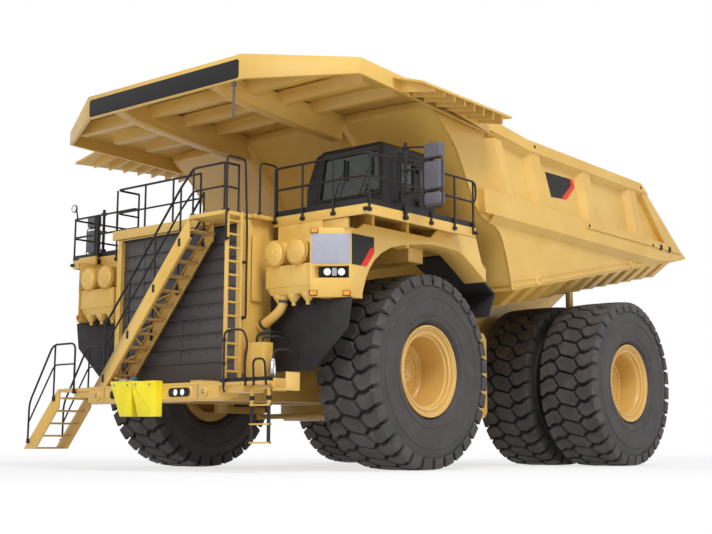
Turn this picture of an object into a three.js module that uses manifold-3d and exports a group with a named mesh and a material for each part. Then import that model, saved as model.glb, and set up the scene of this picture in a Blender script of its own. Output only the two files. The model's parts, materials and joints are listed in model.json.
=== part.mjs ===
// A mining dump truck, built from three.js shapes and joined or cut with manifold-3d.
// Millimetres. +X is the truck's left, +Y its rear and +Z up. While it is built, y = 0 is the
// front axle; the last lines move the whole truck so that the middle of its length is at y = 0.
import * as THREE from 'three'
import { mergeVertices } from 'three/addons/utils/BufferGeometryUtils.js'
import Module from 'manifold-3d'

const wasm = await Module()
wasm.setup()

// ---- Driving dimensions ----------------------------------------------------------------

// Gaps: between pieces that seat on each other, and between pieces that move past each other.
const seat = 0.3
const pass = 8

// Wheels.
const wheelbase = 7195
const frontHalfTrack = 3267
const rearHalfTrack = 3116
const dualSpacing = 1826
const tyreRadius = 2015
const tyreWidth = 1470
const beadRadius = 800
const flangeRadius = 950
const rimWidth = 1120
const flangeThickness = 80
const wheelSides = 20
const axleZ = tyreRadius

// Steering.
const kingpinX = 2250
const strutRadius = 240
const kingpinRadius = 180
const strutBottom = 2350
const strutTop = 3900
const armY = 950
const armX = kingpinX - 330
const armZ = 1180

// Frame.
const railInner = 620
const railOuter = 970
const frameFront = -3600
const pivotY = 8100
const pivotZ = 3200
const pinRadius = 110
const bossRadius = 180
const railTopFront = 2450
const railTopRear = 3500

// Hoists: the foot pin on the frame, the eye under the body and the foot boss's outer face.
const hoistX = 1215
const hoistFootY = 4750
const hoistFootZ = 1900
const hoistEyeY = 5150
const hoistEyeZ = 3850
const eyeHalf = 125
const footFace = railOuter + 45

// Front end.
const bumperFront = -4120
const bumperBottom = 1350
const bumperTop = 1700
const grilleFront = -3300
const grilleBack = -2760
const grilleHalf = 1950
const grilleTop = 4900

// Decks and cab.
const deckTop = 5020
const rightDeckTop = 4820
const deckPlate = 80
const deckRear = 690
const centreHalf = 2200
const centreFront = -3430
const leftDeckFront = -2900
const rightDeckFront = -2650
const deckEdge = 4630
const fasciaDepth = 210
const railTube = 22
const landingLeft = 1050
const landingRight = 2070
const cabFront = -1500
const cabRear = 200
const cabOuter = 3920
const cabInner = 1950
const cabTop = 6600
const cabWall = 70

// Dump body.
const bodyHalf = 4256
const sideOuter = 4080
const sideWall = 60
const floorFrontY = 2900
const floorFrontZ = 3950
const floorRearY = 11200
const floorRearZ = 5550
const floorPlate = 120
const bolsterDepth = 330
const bolsterWidth = 220
const tailTipY = 11560
const tailTipZ = 5660
const canopyFront = -4070
const canopyFrontHalf = 2410
const canopyShoulderY = -2960
const canopyHalf = 4520
const canopyRear = 1770
const canopyPlate = 60
const wingTip = 5410

// ---- Materials -------------------------------------------------------------------------

function finish(color, roughness, metalness = 0) {
  return new THREE.MeshStandardMaterial({ color, roughness, metalness })
}

const yellow = finish(0xdeba68, 0.5)
const gold = finish(0xd9a94e, 0.45)
const darkPanel = finish(0x524d4d, 0.6)
const black = finish(0x2e2a2a, 0.6)
const rubber = finish(0x4a4646, 0.9)
const chockYellow = finish(0xfaec32, 0.5)
const steel = finish(0xb8b8b8, 0.3, 1)
const glass = finish(0x4a5548, 0.1)

// ---- Shapes ----------------------------------------------------------------------------

const vector = (x, y, z) => new THREE.Vector3(x, y, z)
const alongX = new THREE.Matrix4().makeBasis(vector(0, 1, 0), vector(0, 0, 1), vector(1, 0, 0))
const alongY = new THREE.Matrix4().makeBasis(vector(1, 0, 0), vector(0, 0, 1), vector(0, -1, 0))

function signedVolume(positions, triangles) {
  let sum = 0
  const corner = (i) => vector(positions[3 * i], positions[3 * i + 1], positions[3 * i + 2])
  for (const [a, b, c] of triangles) sum += corner(a).dot(corner(b).cross(corner(c)))
  return sum
}

// A closed three.js geometry as a manifold solid, facing outwards.
function solid(geometry) {
  geometry.deleteAttribute('normal')
  geometry.deleteAttribute('uv')
  const merged = mergeVertices(geometry)
  const index = merged.index.array
  const triangles = []
  for (let i = 0; i < index.length; i += 3) {
    const [a, b, c] = [index[i], index[i + 1], index[i + 2]]
    if (a !== b && b !== c && c !== a) triangles.push([a, b, c])
  }
  const positions = new Float32Array(merged.attributes.position.array)
  const inward = signedVolume(positions, triangles) < 0
  const ordered = triangles.map(([a, b, c]) => (inward ? [a, c, b] : [a, b, c]))
  const triVerts = new Uint32Array(ordered.flat())
  return new wasm.Manifold(new wasm.Mesh({ numProp: 3, vertProperties: positions, triVerts }))
}

function join(...solids) {
  return solids.flat().reduce((sum, next) => sum.add(next))
}

function cut(whole, ...tools) {
  return tools.flat().reduce((left, tool) => left.subtract(tool), whole)
}

function box(x0, x1, y0, y1, z0, z1) {
  const geometry = new THREE.BoxGeometry(Math.abs(x1 - x0), Math.abs(y1 - y0), Math.abs(z1 - z0))
  geometry.translate((x0 + x1) / 2, (y0 + y1) / 2, (z0 + z1) / 2)
  return solid(geometry)
}

function extruded(outline, depth) {
  const shape = new THREE.Shape(outline.map(([u, v]) => new THREE.Vector2(u, v)))
  return new THREE.ExtrudeGeometry(shape, { depth, bevelEnabled: false })
}

// Outlines are [y, z], [x, z] and [x, y] for the three directions.
function prismX(outline, x0, x1) {
  const geometry = extruded(outline, Math.abs(x1 - x0)).applyMatrix4(alongX)
  return solid(geometry.translate(Math.min(x0, x1), 0, 0))
}

function prismY(outline, y0, y1) {
  const geometry = extruded(outline, Math.abs(y1 - y0)).applyMatrix4(alongY)
  return solid(geometry.translate(0, Math.max(y0, y1), 0))
}

function prismZ(outline, z0, z1) {
  return solid(extruded(outline, Math.abs(z1 - z0)).translate(0, 0, Math.min(z0, z1)))
}

function rod(from, to, radius, sides = 8) {
  const [a, b] = [vector(...from), vector(...to)]
  const geometry = new THREE.CylinderGeometry(radius, radius, a.distanceTo(b), sides)
  const turn = new THREE.Quaternion().setFromUnitVectors(vector(0, 1, 0), b.clone().sub(a).normalize())
  geometry.applyQuaternion(turn)
  const middle = a.add(b).multiplyScalar(0.5)
  return solid(geometry.translate(middle.x, middle.y, middle.z))
}

const railSides = 4

// A tube rail through its corner points, with a block at each inner corner.
function rail(points, radius) {
  const parts = []
  for (let i = 1; i < points.length; i += 1) {
    parts.push(rod(points[i - 1], points[i], radius, railSides))
    if (i < points.length - 1) {
      const [x, y, z] = points[i]
      const r = radius * 0.8
      parts.push(box(x - r, x + r, y - r, y + r, z - r, z + r))
    }
  }
  return join(parts)
}

// A profile of [radius, x] turned about the line through y, z along X, with a flat underneath.
function turned(profile, y, z, sides = wheelSides) {
  const points = profile.map(([radius, along]) => new THREE.Vector2(radius, along))
  const geometry = new THREE.LatheGeometry(points, sides, Math.PI / sides)
  geometry.rotateZ(-Math.PI / 2)
  return solid(geometry.translate(0, y, z))
}

// The solid between an upper and a lower grid of points, each grid[row][column] = [x, y, z].
function layer(upper, lower) {
  const [rows, columns] = [upper.length, upper[0].length]
  const positions = [...upper.flat(2), ...lower.flat(2)]
  const at = (side, row, column) => side * rows * columns + row * columns + column
  const index = []
  const quad = (a, b, c, d) => index.push(a, b, c, a, c, d)
  for (let r = 0; r < rows - 1; r += 1) {
    for (let c = 0; c < columns - 1; c += 1) {
      quad(at(0, r, c), at(0, r, c + 1), at(0, r + 1, c + 1), at(0, r + 1, c))
      quad(at(1, r, c), at(1, r + 1, c), at(1, r + 1, c + 1), at(1, r, c + 1))
    }
    const end = columns - 1
    quad(at(0, r, 0), at(0, r + 1, 0), at(1, r + 1, 0), at(1, r, 0))
    quad(at(0, r, end), at(1, r, end), at(1, r + 1, end), at(0, r + 1, end))
  }
  for (let c = 0; c < columns - 1; c += 1) {
    const end = rows - 1
    quad(at(0, 0, c), at(1, 0, c), at(1, 0, c + 1), at(0, 0, c + 1))
    quad(at(0, end, c), at(0, end, c + 1), at(1, end, c + 1), at(1, end, c))
  }
  const geometry = new THREE.BufferGeometry()
  geometry.setAttribute('position', new THREE.Float32BufferAttribute(positions, 3))
  geometry.setIndex(index)
  return solid(geometry)
}

function lowered(grid, depth) {
  return grid.map((row) => row.map(([x, y, z]) => [x, y, z - depth]))
}

function mirrored(shape) {
  const data = shape.getMesh()
  const geometry = new THREE.BufferGeometry()
  const positions = new Float32Array(data.vertProperties)
  for (let i = 0; i < positions.length; i += 3) positions[i] = -positions[i]
  geometry.setAttribute('position', new THREE.BufferAttribute(positions, 3))
  geometry.setIndex(new THREE.BufferAttribute(new Uint32Array(data.triVerts), 1))
  return solid(geometry)
}

const truck = new THREE.Group()

const tidyTo = 0.05

function piece(name, shape, material) {
  const data = shape.asOriginal().simplify(tidyTo).getMesh()
  const geometry = new THREE.BufferGeometry()
  geometry.setAttribute('position', new THREE.BufferAttribute(new Float32Array(data.vertProperties), 3))
  geometry.setIndex(new THREE.BufferAttribute(new Uint32Array(data.triVerts), 1))
  geometry.computeVertexNormals()
  const mesh = new THREE.Mesh(geometry, material)
  mesh.name = name
  truck.add(mesh)
}

function pair(name, left, material) {
  piece(`${name}_left`, left, material)
  piece(`${name}_right`, mirrored(left), material)
}

// Points of a smooth curve through a few chosen ones.
function smooth(points, count) {
  const curve = new THREE.SplineCurve(points.map(([u, v]) => new THREE.Vector2(u, v)))
  return curve.getPoints(count).map((p) => [p.x, p.y])
}

// A curve moved sideways by a distance, to the left of its direction.
function shifted(points, distance) {
  const last = points.length - 1
  return points.map(([u, v], i) => {
    const [before, after] = [points[Math.max(i - 1, 0)], points[Math.min(i + 1, last)]]
    const [du, dv] = [after[0] - before[0], after[1] - before[1]]
    const length = Math.hypot(du, dv)
    return [u - (distance * dv) / length, v + (distance * du) / length]
  })
}

// ---- Wheels ----------------------------------------------------------------------------

// The crown's flats, not its corners, are tyreRadius from the axle.
const crown = tyreRadius / Math.cos(Math.PI / wheelSides)

function tyre(centreX, y) {
  const side = tyreWidth / 2
  const bead = rimWidth / 2
  const outside = [[beadRadius + seat, bead], [flangeRadius + 5, bead], [1150, side - 10],
    [1500, side], [1850, side - 40], [crown, side - 150]]
  const inside = [[1850, side - 250], [1300, side - 110], [beadRadius + seat, bead - 110]]
  const opposite = (list) => list.map(([r, t]) => [r, -t]).reverse()
  const loop = [...outside, ...opposite(outside), ...opposite(inside), ...inside]
  const profile = [...loop, loop[0]].map(([r, t]) => [r, centreX + t])
  return turned(profile, y, axleZ)
}

// One rim's outer skin between its two flanges, from its outer lip to its inner lip.
function rimSkin(centreX) {
  const seatHalf = rimWidth / 2 + seat
  const lip = rimWidth / 2 + flangeThickness
  const half = [[flangeRadius, lip], [flangeRadius, seatHalf], [beadRadius, seatHalf]]
  const back = half.map(([r, t]) => [r, -t]).reverse()
  return [...half, ...back].map(([r, t]) => [r, centreX + t])
}

const hubBack = kingpinX + 450

function frontRim() {
  const x = frontHalfTrack
  const lip = x + rimWidth / 2 + flangeThickness
  const dish = [[0, x + 40], [150, x + 25], [260, x - 30], [330, x - 120], [570, x - 120],
    [600, x + 380], [690, x + 470], [860, lip - 50]]
  const back = [[740, x - 600], [690, x - 250], [330, x - 250], [330, hubBack + seat], [0, hubBack + seat]]
  return turned([...dish, ...rimSkin(x), ...back], 0, axleZ)
}

const outerDual = rearHalfTrack + dualSpacing / 2
const innerDual = rearHalfTrack - dualSpacing / 2
const axleEnd = 1400

function rearRim() {
  const lip = outerDual + rimWidth / 2 + flangeThickness
  const cover = [[0, outerDual + 60], [300, outerDual + 50], [380, outerDual + 5], [650, outerDual - 20],
    [665, outerDual + 440], [860, lip - 50]]
  const band = [[760, outerDual - rimWidth / 2 - flangeThickness], [760, innerDual + 640]]
  const back = [[760, innerDual - 600], [710, innerDual - 540], [690, innerDual + 100],
    [400, innerDual + 100], [400, axleEnd + seat], [0, axleEnd + seat]]
  const skins = [...rimSkin(outerDual), ...band, ...rimSkin(innerDual)]
  return turned([...cover, ...skins, ...back], wheelbase, axleZ)
}

pair('front_tyre', tyre(frontHalfTrack, 0), rubber)
pair('front_rim', frontRim(), gold)
pair('rear_tyre_outer', tyre(outerDual, wheelbase), rubber)
pair('rear_tyre_inner', tyre(innerDual, wheelbase), rubber)
pair('rear_rim', rearRim(), gold)

// ---- Front suspension and steering -----------------------------------------------------

function frontStrut() {
  const barrel = rod([kingpinX, 0, strutBottom], [kingpinX, 0, strutTop], strutRadius, 16)
  const cap = rod([kingpinX, 0, strutTop - 60], [kingpinX, 0, strutTop + 80], strutRadius - 60, 16)
  return join(barrel, cap)
}

function knuckle() {
  const post = rod([kingpinX, 0, 1250], [kingpinX, 0, strutBottom - seat], kingpinRadius, 16)
  const spindle = rod([kingpinX, 0, axleZ], [hubBack, 0, axleZ], 260, 16)
  const block = box(kingpinX - 220, kingpinX + 200, -220, 220, 1500, 2250)
  const arm = prismZ([[kingpinX - 120, -100], [kingpinX + 120, -100], [armX + 90, armY + 90],
    [armX - 90, armY + 90], [armX - 90, armY - 60]], 1250 + seat, 1400)
  const ball = rod([armX, armY, armZ + 70 + seat], [armX, armY, 1260], 50, 12)
  return join(post, spindle, block, arm, ball)
}

function tieRod() {
  const tube = rod([-armX, armY, armZ], [armX, armY, armZ], 60, 12)
  const ends = [-1, 1].map((s) => rod([s * armX, armY, armZ - 70], [s * armX, armY, armZ + 70], 95, 12))
  return join(tube, ends)
}

pair('front_strut', frontStrut(), gold)
pair('knuckle', knuckle(), gold)
piece('tie_rod', tieRod(), gold)

// ---- Frame -----------------------------------------------------------------------------

// The rail's rear end is round about the body's pivot, so that the raised body clears it.
function railEnd() {
  const radius = railTopRear - pivotZ
  const at = (degrees) => {
    const angle = THREE.MathUtils.degToRad(degrees)
    return [pivotY + radius * Math.cos(angle), pivotZ + radius * Math.sin(angle)]
  }
  return [90, 68, 45, 22, 0, -25].map(at)
}

const railOutline = [
  [frameFront + seat, 1380], [frameFront + seat, bumperTop + 90], [grilleBack + 100, bumperTop + 90],
  [grilleBack + 250, railTopFront], [2000, railTopFront], [5200, 3300], [6000, railTopRear],
  ...railEnd(), [8200, 2930], [6300, 2950], [5400, 2400], [4500, 1600], [1500, 1450],
]

const frameTieTop = 2100

function frame() {
  const rails = [-1, 1].map((s) => prismX(railOutline, s * railInner, s * railOuter))
  const cross = (y0, y1, z0, z1) => box(-railInner - 20, railInner + 20, y0, y1, z0, z1)
  const ties = [
    cross(-3300, -3000, 1400, 1700), cross(-300, 300, 1480, frameTieTop), cross(1600, 2000, 1550, 2350),
    cross(4150, 4450, 1750, 2300), cross(7850, 8200, 2960, 3450),
  ]
  const collar = [-1, 1].map((s) => join(
    box(s * 640, s * 960, -300, 300, railTopFront - 50, 3600),
    box(s * 940, s * (kingpinX - strutRadius - seat), -250, 250, 2700, 3500),
  ))
  const post = [-1, 1].map((s) => box(s * 660, s * 940, -250, 250, 3590, 4299))
  const pin = rod([-railOuter - 230, pivotY, pivotZ], [railOuter + 230, pivotY, pivotZ], pinRadius, 20)
  const boss = rod([-railOuter - 30, pivotY, pivotZ], [railOuter + 30, pivotY, pivotZ], bossRadius, 16)
  const feet = [-1, 1].map((s) => rod([s * 800, hoistFootY, hoistFootZ],
    [s * footFace, hoistFootY, hoistFootZ], 150, 16))
  return join(rails, ties, collar, post, pin, boss, feet)
}

const supportReach = 3560

function deckSupport() {
  const beam = box(-supportReach, supportReach, -250, 250, 4299 + seat, rightDeckTop - deckPlate - seat)
  const riser = box(-2150, supportReach, -200, 200, rightDeckTop - deckPlate - 50, deckTop - deckPlate - seat)
  const collarLegs = [-1, 1].map((s) => box(s * 640, s * 960, -240, 240, 4299 + seat, 4500))
  return join(beam, riser, collarLegs)
}

const engineTop = 4250

function engine() {
  const block = box(-590, 590, -2300, 900, frameTieTop + seat, engineTop)
  const head = box(-480, 480, -2200, 800, engineTop - 10, engineTop + 20)
  return join(block, head)
}

piece('frame', frame(), gold)
piece('deck_support', deckSupport(), gold)
piece('engine', engine(), gold)

// ---- Rear axle -------------------------------------------------------------------------

function rearAxle() {
  const banjo = turned([[0, -700], [450, -620], [740, -350], [740, 350], [450, 620], [0, 700]],
    wheelbase, axleZ, 16)
  const tube = rod([-axleEnd, wheelbase, axleZ], [axleEnd, wheelbase, axleZ], 380, 16)
  const tongue = prismX([[wheelbase - 500, 1650], [wheelbase - 500, 2350], [4450 + seat, 2150],
    [4450 + seat, 1850]], -420, 420)
  const struts = [-1, 1].map((s) => join(
    box(s * 240, s * 560, wheelbase + 200, wheelbase + 1050, 1560, 1800),
    rod([s * 400, wheelbase + 880, 1790], [s * 400, wheelbase + 880, 2960 - seat], 150, 16),
  ))
  return join(banjo, tube, tongue, struts)
}

piece('rear_axle', rearAxle(), gold)

// ---- Tanks -----------------------------------------------------------------------------

const tankFront = 2750
const tankRear = 3500
const tankOuter = 2950

function tank() {
  const body = prismX([[tankFront, 1250], [tankFront, 2950], [tankFront + 120, 3080],
    [tankRear - 120, 3080], [tankRear, 2950], [tankRear, 1250], [tankRear - 120, 1120],
    [tankFront + 120, 1120]], railOuter + 330, tankOuter)
  const bracket = box(railOuter + seat, railOuter + 340, tankFront + 150, tankRear - 150, 1750, 2300)
  return join(body, bracket)
}

pair('side_tank', tank(), yellow)

// ---- Bumper, stairs and ladders --------------------------------------------------------

const platformLeft = -2950
const platformRight = 3280
const platformBack = -3250
const lampX = 860

function slot(x, z) {
  const round = (s) => rod([x + s * 110, bumperFront - 5, z], [x + s * 110, bumperFront + 130, z], 90, 16)
  return join(round(-1), round(1), box(x - 110, x + 110, bumperFront - 5, bumperFront + 130, z - 90, z + 90))
}

function bumper() {
  const beam = prismX([[bumperFront, bumperBottom + 40], [bumperFront, bumperTop],
    [frameFront, bumperTop], [frameFront, bumperBottom + 90], [bumperFront + 120, bumperBottom]],
  -1940, 2000)
  const right = join(
    box(1990, platformRight, bumperFront, platformBack, bumperTop - 70, bumperTop),
    box(1990, 2600, bumperFront + 60, -3500, bumperBottom + 150, bumperTop - 60),
  )
  const left = join(
    box(platformLeft, -1930, bumperFront, platformBack, bumperTop - 70, bumperTop),
    box(-2500, -1930, bumperFront + 60, -3500, bumperBottom + 150, bumperTop - 60),
  )
  const hook = rod([1620, bumperFront - 30, 1525], [1620, bumperFront + 20, 1525], 70, 12)
  const whole = join(beam, right, left, hook, mirrored(hook))
  return cut(whole, slot(-lampX, 1550), slot(lampX, 1550))
}

const stairFront = -4100
const stairBack = -3440
const stairRise = 3330
const stairRun = 2860
const stringerWidth = 300

const stairTopX = landingLeft - seat
const stairFootX = stairTopX - stairRun
const stairSlope = stairRise / stairRun
const stairZ = (x) => bumperTop + (x - stairFootX) * stairSlope

// Main stair: from the bumper's top up to the landing's left edge.
function mainStair() {
  const reach = stringerWidth / Math.sin(Math.atan(stairSlope))
  const outline = [[stairFootX, bumperTop + seat], [stairFootX + reach, bumperTop + seat],
    [stairTopX, stairZ(stairTopX - reach)], [stairTopX, deckTop]]
  const front = prismY(outline, stairFront, stairFront + 40)
  const back = prismY(outline, stairBack - 40, stairBack)
  const steps = []
  for (let i = 1; i <= 11; i += 1) {
    const z = bumperTop + (i * stairRise) / 12
    const x = stairFootX + (z - bumperTop) / stairSlope
    steps.push(box(x + 60, x + 300, stairFront + 20, stairBack - 20, z - 40, z))
  }
  return join(front, back, steps)
}

const stairRailFrom = stairFootX + 300
const stairRailTo = stairTopX - 300

function stairHandrail(y) {
  const line = (x, lift) => [x, y, stairZ(x) + lift]
  const posts = [0, 0.33, 0.67, 1].map((t) => {
    const x = stairRailFrom + t * (stairRailTo - stairRailFrom)
    return rod(line(x, -250), line(x, 950), 20, railSides)
  })
  const rails = [950, 480].map((lift) =>
    rod(line(stairRailFrom, lift), line(stairRailTo, lift), railTube, railSides))
  return join(posts, rails)
}

// The rail that carries the stair's front handrail on around the landing's front.
function landingRail() {
  const y = stairFront + 20
  const end = landingRight - 60
  const line = (lift) => [[stairRailTo - 40, y, stairZ(stairRailTo - 40) + lift],
    [landingLeft + 60, y, deckTop + lift], [end, y, deckTop + lift], [end, y + 380, deckTop + lift]]
  const posts = [[landingLeft + 60, y], [end, y], [end, y + 380]].map(([x, py]) => rod(
    [x, py, deckTop + seat], [x, py, deckTop + 950], 20, railSides))
  return join(rail(line(950), 22), rail(line(480), 20), posts)
}

const ladderX = landingRight + seat

function frontLadder() {
  const rails = [-4110, -3720].map((y) => box(ladderX, ladderX + 60, y, y + 70, bumperTop + seat, deckTop))
  const rungs = []
  for (let i = 0; i < 12; i += 1) {
    const z = bumperTop + 200 + i * 265
    rungs.push(rod([ladderX + 30, -4080, z], [ladderX + 30, -3680, z], 20, 8))
  }
  return join(rails, rungs)
}

const accessFoot = -4150
const accessBottom = 430

function accessStair() {
  const topX = platformLeft - seat
  const outline = [[accessFoot, accessBottom], [accessFoot + 420, accessBottom], [topX, bumperTop - 380],
    [topX, bumperTop], [topX - 60, bumperTop]]
  const front = prismY(outline, bumperFront, bumperFront + 40)
  const back = prismY(outline, platformBack - 40, platformBack)
  const steps = []
  for (let i = 0; i < 5; i += 1) {
    const z = accessBottom + 30 + i * 265
    const x = accessFoot + 40 + ((topX - 60 - accessFoot) * (z - accessBottom)) / (bumperTop - accessBottom)
    steps.push(box(x, x + 280, bumperFront + 20, platformBack - 20, z - 30, z))
  }
  return join(front, back, steps)
}

function hangingLadder() {
  const rails = [2650, 3090].map((x) => box(x, x + 70, -3930, -3900, 545, bumperTop - 70 - seat))
  const rungs = [560, 900, 1250, 1560].map((z) => box(2640, 3170, -3940, -3890, z - 15, z + 15))
  return join(rails, rungs)
}

// Two wheel chocks hung side by side on the bumper's front.
function chocks() {
  const back = bumperFront - seat
  const first = prismY([[-1000, 1790], [-330, 1790], [-300, 1080], [-660, 1080]], back - 200, back)
  const second = prismY([[-350, 1770], [400, 1770], [400, 1070], [-100, 1070]], back - 200, back)
  return join(first, second)
}

piece('front_bumper', bumper(), yellow)
const stairHandrails = [stairFront + 20, stairBack - 20].map(stairHandrail)
piece('main_stair', join(mainStair(), stairHandrails, landingRail()), yellow)
piece('front_ladder', frontLadder(), yellow)
piece('access_stair', accessStair(), yellow)
piece('hanging_ladder', hangingLadder(), darkPanel)
piece('wheel_chocks', chocks(), chockYellow)

// ---- Radiator, decks -------------------------------------------------------------------

function radiator() {
  const half = grilleHalf - seat
  const core = box(-half, half, grilleFront + 30, grilleBack, bumperTop + 90 + seat, grilleTop - seat)
  const slats = []
  for (let i = 0; i < 9; i += 1) {
    const z = 2150 + i * 300
    slats.push(box(-grilleHalf + 60, grilleHalf - 60, grilleFront, grilleFront + 50, z, z + 250))
  }
  return join(core, slats)
}

function radiatorGuard() {
  const left = box(-landingRight, -grilleHalf, grilleFront - 60, grilleBack, 1900, grilleTop + 20)
  const right = box(grilleHalf, landingRight, -3650, grilleBack, 1900, grilleTop + 20)
  const top = box(-landingRight, landingRight, grilleFront - 60, grilleBack, grilleTop,
    deckTop - deckPlate - seat)
  return join(left, right, top)
}

function centreDeck() {
  const half = centreHalf - seat
  const plate = box(-half, half, centreFront, deckRear, deckTop - deckPlate, deckTop)
  const landing = box(landingLeft, landingRight, bumperFront, centreFront + 30, deckTop - deckPlate, deckTop)
  const kick = box(-half, landingLeft, centreFront, centreFront + 20, deckTop - 10, deckTop + 120)
  return join(plate, landing, kick)
}

function leftDeck() {
  const plate = box(centreHalf, deckEdge, leftDeckFront, deckRear, deckTop - deckPlate, deckTop)
  const bottom = deckTop - fasciaDepth
  const front = box(centreHalf, deckEdge, leftDeckFront, leftDeckFront + 30, bottom, deckTop)
  const side = box(deckEdge - 30, deckEdge, leftDeckFront, deckRear, bottom, deckTop)
  return join(plate, front, side)
}

function rightDeck() {
  const [front, top] = [rightDeckFront, rightDeckTop]
  const plate = box(-centreHalf, -deckEdge, front, deckRear, top - deckPlate, top)
  const fascia = box(-centreHalf, -deckEdge, front, front + 30, top - fasciaDepth, top)
  const side = box(-deckEdge + 30, -deckEdge, front, deckRear, top - fasciaDepth, top)
  return join(plate, fascia, side)
}

piece('radiator', radiator(), darkPanel)
piece('radiator_guard', radiatorGuard(), yellow)
piece('deck_centre', centreDeck(), yellow)
piece('deck_left', leftDeck(), yellow)
piece('deck_right', rightDeck(), yellow)

// ---- Fenders, air cleaners, mudguards --------------------------------------------------

const podFront = -3270
const podInner = 3530
const podBottom = 3280
const podTop = 4610
const fenderOuter = 4140
const fenderTop = 4735
const skin = 60
const mudguardInner = 2450
const mudguardOuter = 3750

// The pod in plan: its face looks outwards as well as forwards, so it has a direction of its own.
const podCorner = [fenderOuter, -2770]
const faceLength = Math.hypot(podCorner[0] - podInner, podCorner[1] - podFront)
const faceAlong = [(podCorner[0] - podInner) / faceLength, (podCorner[1] - podFront) / faceLength]

// A point in plan from the pod's inner front edge: along its face, then into it.
function onPodFace(along, into) {
  const [u, v] = faceAlong
  return [podInner + along * u - into * v, podFront + along * v + into * u]
}

// The wheel arch's edge from the pod's lower corner, over the tyre, to the fender's rear end.
const archCurve = smooth([[-2460, 3290], [-2340, 3670], [-2080, 4060], [-1580, 4366], [-830, 4530],
  [-200, 4600], [600, 4580], [900, 4520], [1620, 4100], [1750, 4026]], 18)

// A fender hung under a deck plate whose underside is at a height.
function fender(deckUnder) {
  const pod = prismZ([[podInner, podFront], podCorner, [fenderOuter, -2440], [podInner, -2640]],
    podBottom, podTop)
  const lamps = prismZ([onPodFace(40, -5), onPodFace(faceLength - 40, -5),
    onPodFace(faceLength - 160, 150), onPodFace(160, 150)], 3646, 3877)
  const plate = prismX([...archCurve, [1760, 4290], [1600, 4420], [1400, deckUnder], [0, deckUnder],
    [-250, fenderTop], [-2400, fenderTop], [-2600, podTop - 20], [-2600, 3400]],
  fenderOuter - skin, fenderOuter)
  const band = prismX([...archCurve, ...shifted(archCurve, 45).reverse()],
    fenderOuter - 560, fenderOuter)
  const hangers = [-2150, -1050].map((y) => box(3800, fenderOuter - 5, y, y + 80, 4440, deckUnder))
  return join(cut(join(pod, plate, band, hangers), lamps), mudguard())
}

// A bent sheet behind the front tyre, outside the space that the steered tyre sweeps.
function mudguard() {
  return prismX([[900, 4570], [1350, 4640], [2700, 3880], [2430, 3330], [2380, 3345], [2630, 3860],
    [1330, 4585], [910, 4520]], mudguardInner, mudguardOuter)
}

// The dark panel in front of a front tyre, under the pod and beside the radiator.
function wheelPanel() {
  return prismY([[landingRight + seat, 3470], [3510, 3470], [3510, podBottom - seat],
    [4170, podBottom - seat], [4070, 2700], [3170, 1930], [landingRight + seat, 1930]],
  grilleBack - skin, grilleBack)
}

function airCleaner(deckFront, fasciaBottom) {
  const front = -3360
  const cans = [2600, 3190].map((x) => rod([x, front, 4190], [x, deckFront + 60, 4190], 265, 16))
  const wall = box(2330, podInner - 20, deckFront, deckFront + 100, 3520, fasciaBottom - seat)
  const chest = box(2330, podInner - 20, -3240, deckFront + 60, 3520, 3950)
  const hopper = box(2430, 3420, -3180, -2900, 3380, 3530)
  const valves = [2560, 2930, 3300].map((x) => rod([x, -3060, 3200], [x, -3060, 3400], 80, 10))
  return join(cans, wall, chest, hopper, valves)
}

const leftFasciaBottom = deckTop - fasciaDepth
const rightFasciaBottom = rightDeckTop - fasciaDepth

piece('fender_left', fender(deckTop - deckPlate - seat), yellow)
piece('fender_right', mirrored(fender(rightDeckTop - deckPlate - seat)), yellow)
pair('wheel_panel', wheelPanel(), darkPanel)
piece('air_cleaner_left', airCleaner(leftDeckFront, leftFasciaBottom), yellow)
piece('air_cleaner_right', mirrored(airCleaner(rightDeckFront, rightFasciaBottom)), yellow)

// ---- Cab -------------------------------------------------------------------------------

const cabFloor = deckTop + seat
const doorFront = -1050
const doorRear = -400
const doorBottom = cabFloor + 120
const doorTop = cabTop - 180
const hingeOut = 35

function knuckles(heights, y0, y1) {
  const x = cabOuter + hingeOut
  return heights.map((z) => join(
    rod([x, doorRear, z], [x, doorRear, z + 80], 28, 12),
    box(cabOuter - 20, x, y0, y1, z, z + 80),
  ))
}

const lean = 240
const leftWindow = [-280, 60, 5700, 6250]
const doorWindow = [doorFront + 100, doorRear - 120, doorBottom + 520, doorTop - 100]

// The windshield's outline, smaller by an inset.
function windshieldOutline(inset) {
  return [[cabInner + 230 + inset, 5560 + inset], [cabOuter - 110 - inset, 5560 + inset],
    [cabOuter - 150 - inset, 6430 - inset], [cabInner + 370 + inset, 6430 - inset]]
}

function cabShell() {
  const outline = [[cabInner, cabFloor], [cabOuter, cabFloor], [cabOuter, cabTop - 60],
    [cabOuter - 90, cabTop], [cabInner + lean + 90, cabTop], [cabInner + lean, cabTop - 60]]
  const inner = [[cabInner + cabWall + 10, cabFloor + cabWall], [cabOuter - cabWall, cabFloor + cabWall],
    [cabOuter - cabWall, cabTop - 120], [cabOuter - 130, cabTop - cabWall],
    [cabInner + lean + 130, cabTop - cabWall], [cabInner + lean + cabWall, cabTop - 120]]
  const shell = cut(prismY(outline, cabFront, cabRear),
    prismY(inner, cabFront + cabWall, cabRear - cabWall))
  const throughOuter = ([y0, y1, z0, z1], margin = 0) => box(cabOuter - cabWall - 20, cabOuter + 20,
    y0 - margin, y1 + margin, z0 - margin, z1 + margin)
  const openings = [
    prismY(windshieldOutline(0), cabFront - 20, cabFront + cabWall + 20),
    throughOuter([doorFront, doorRear, doorBottom, doorTop], pass),
    throughOuter(leftWindow),
    box(cabInner - 20, cabInner + 330, -1200, -150, 5700, 6250),
    box(cabInner + 400, cabOuter - 250, cabRear - cabWall - 20, cabRear + 20, 5700, 6250),
  ]
  return join(cut(shell, openings), knuckles([5400, 6100], doorRear + 20, doorRear + 70))
}

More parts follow.
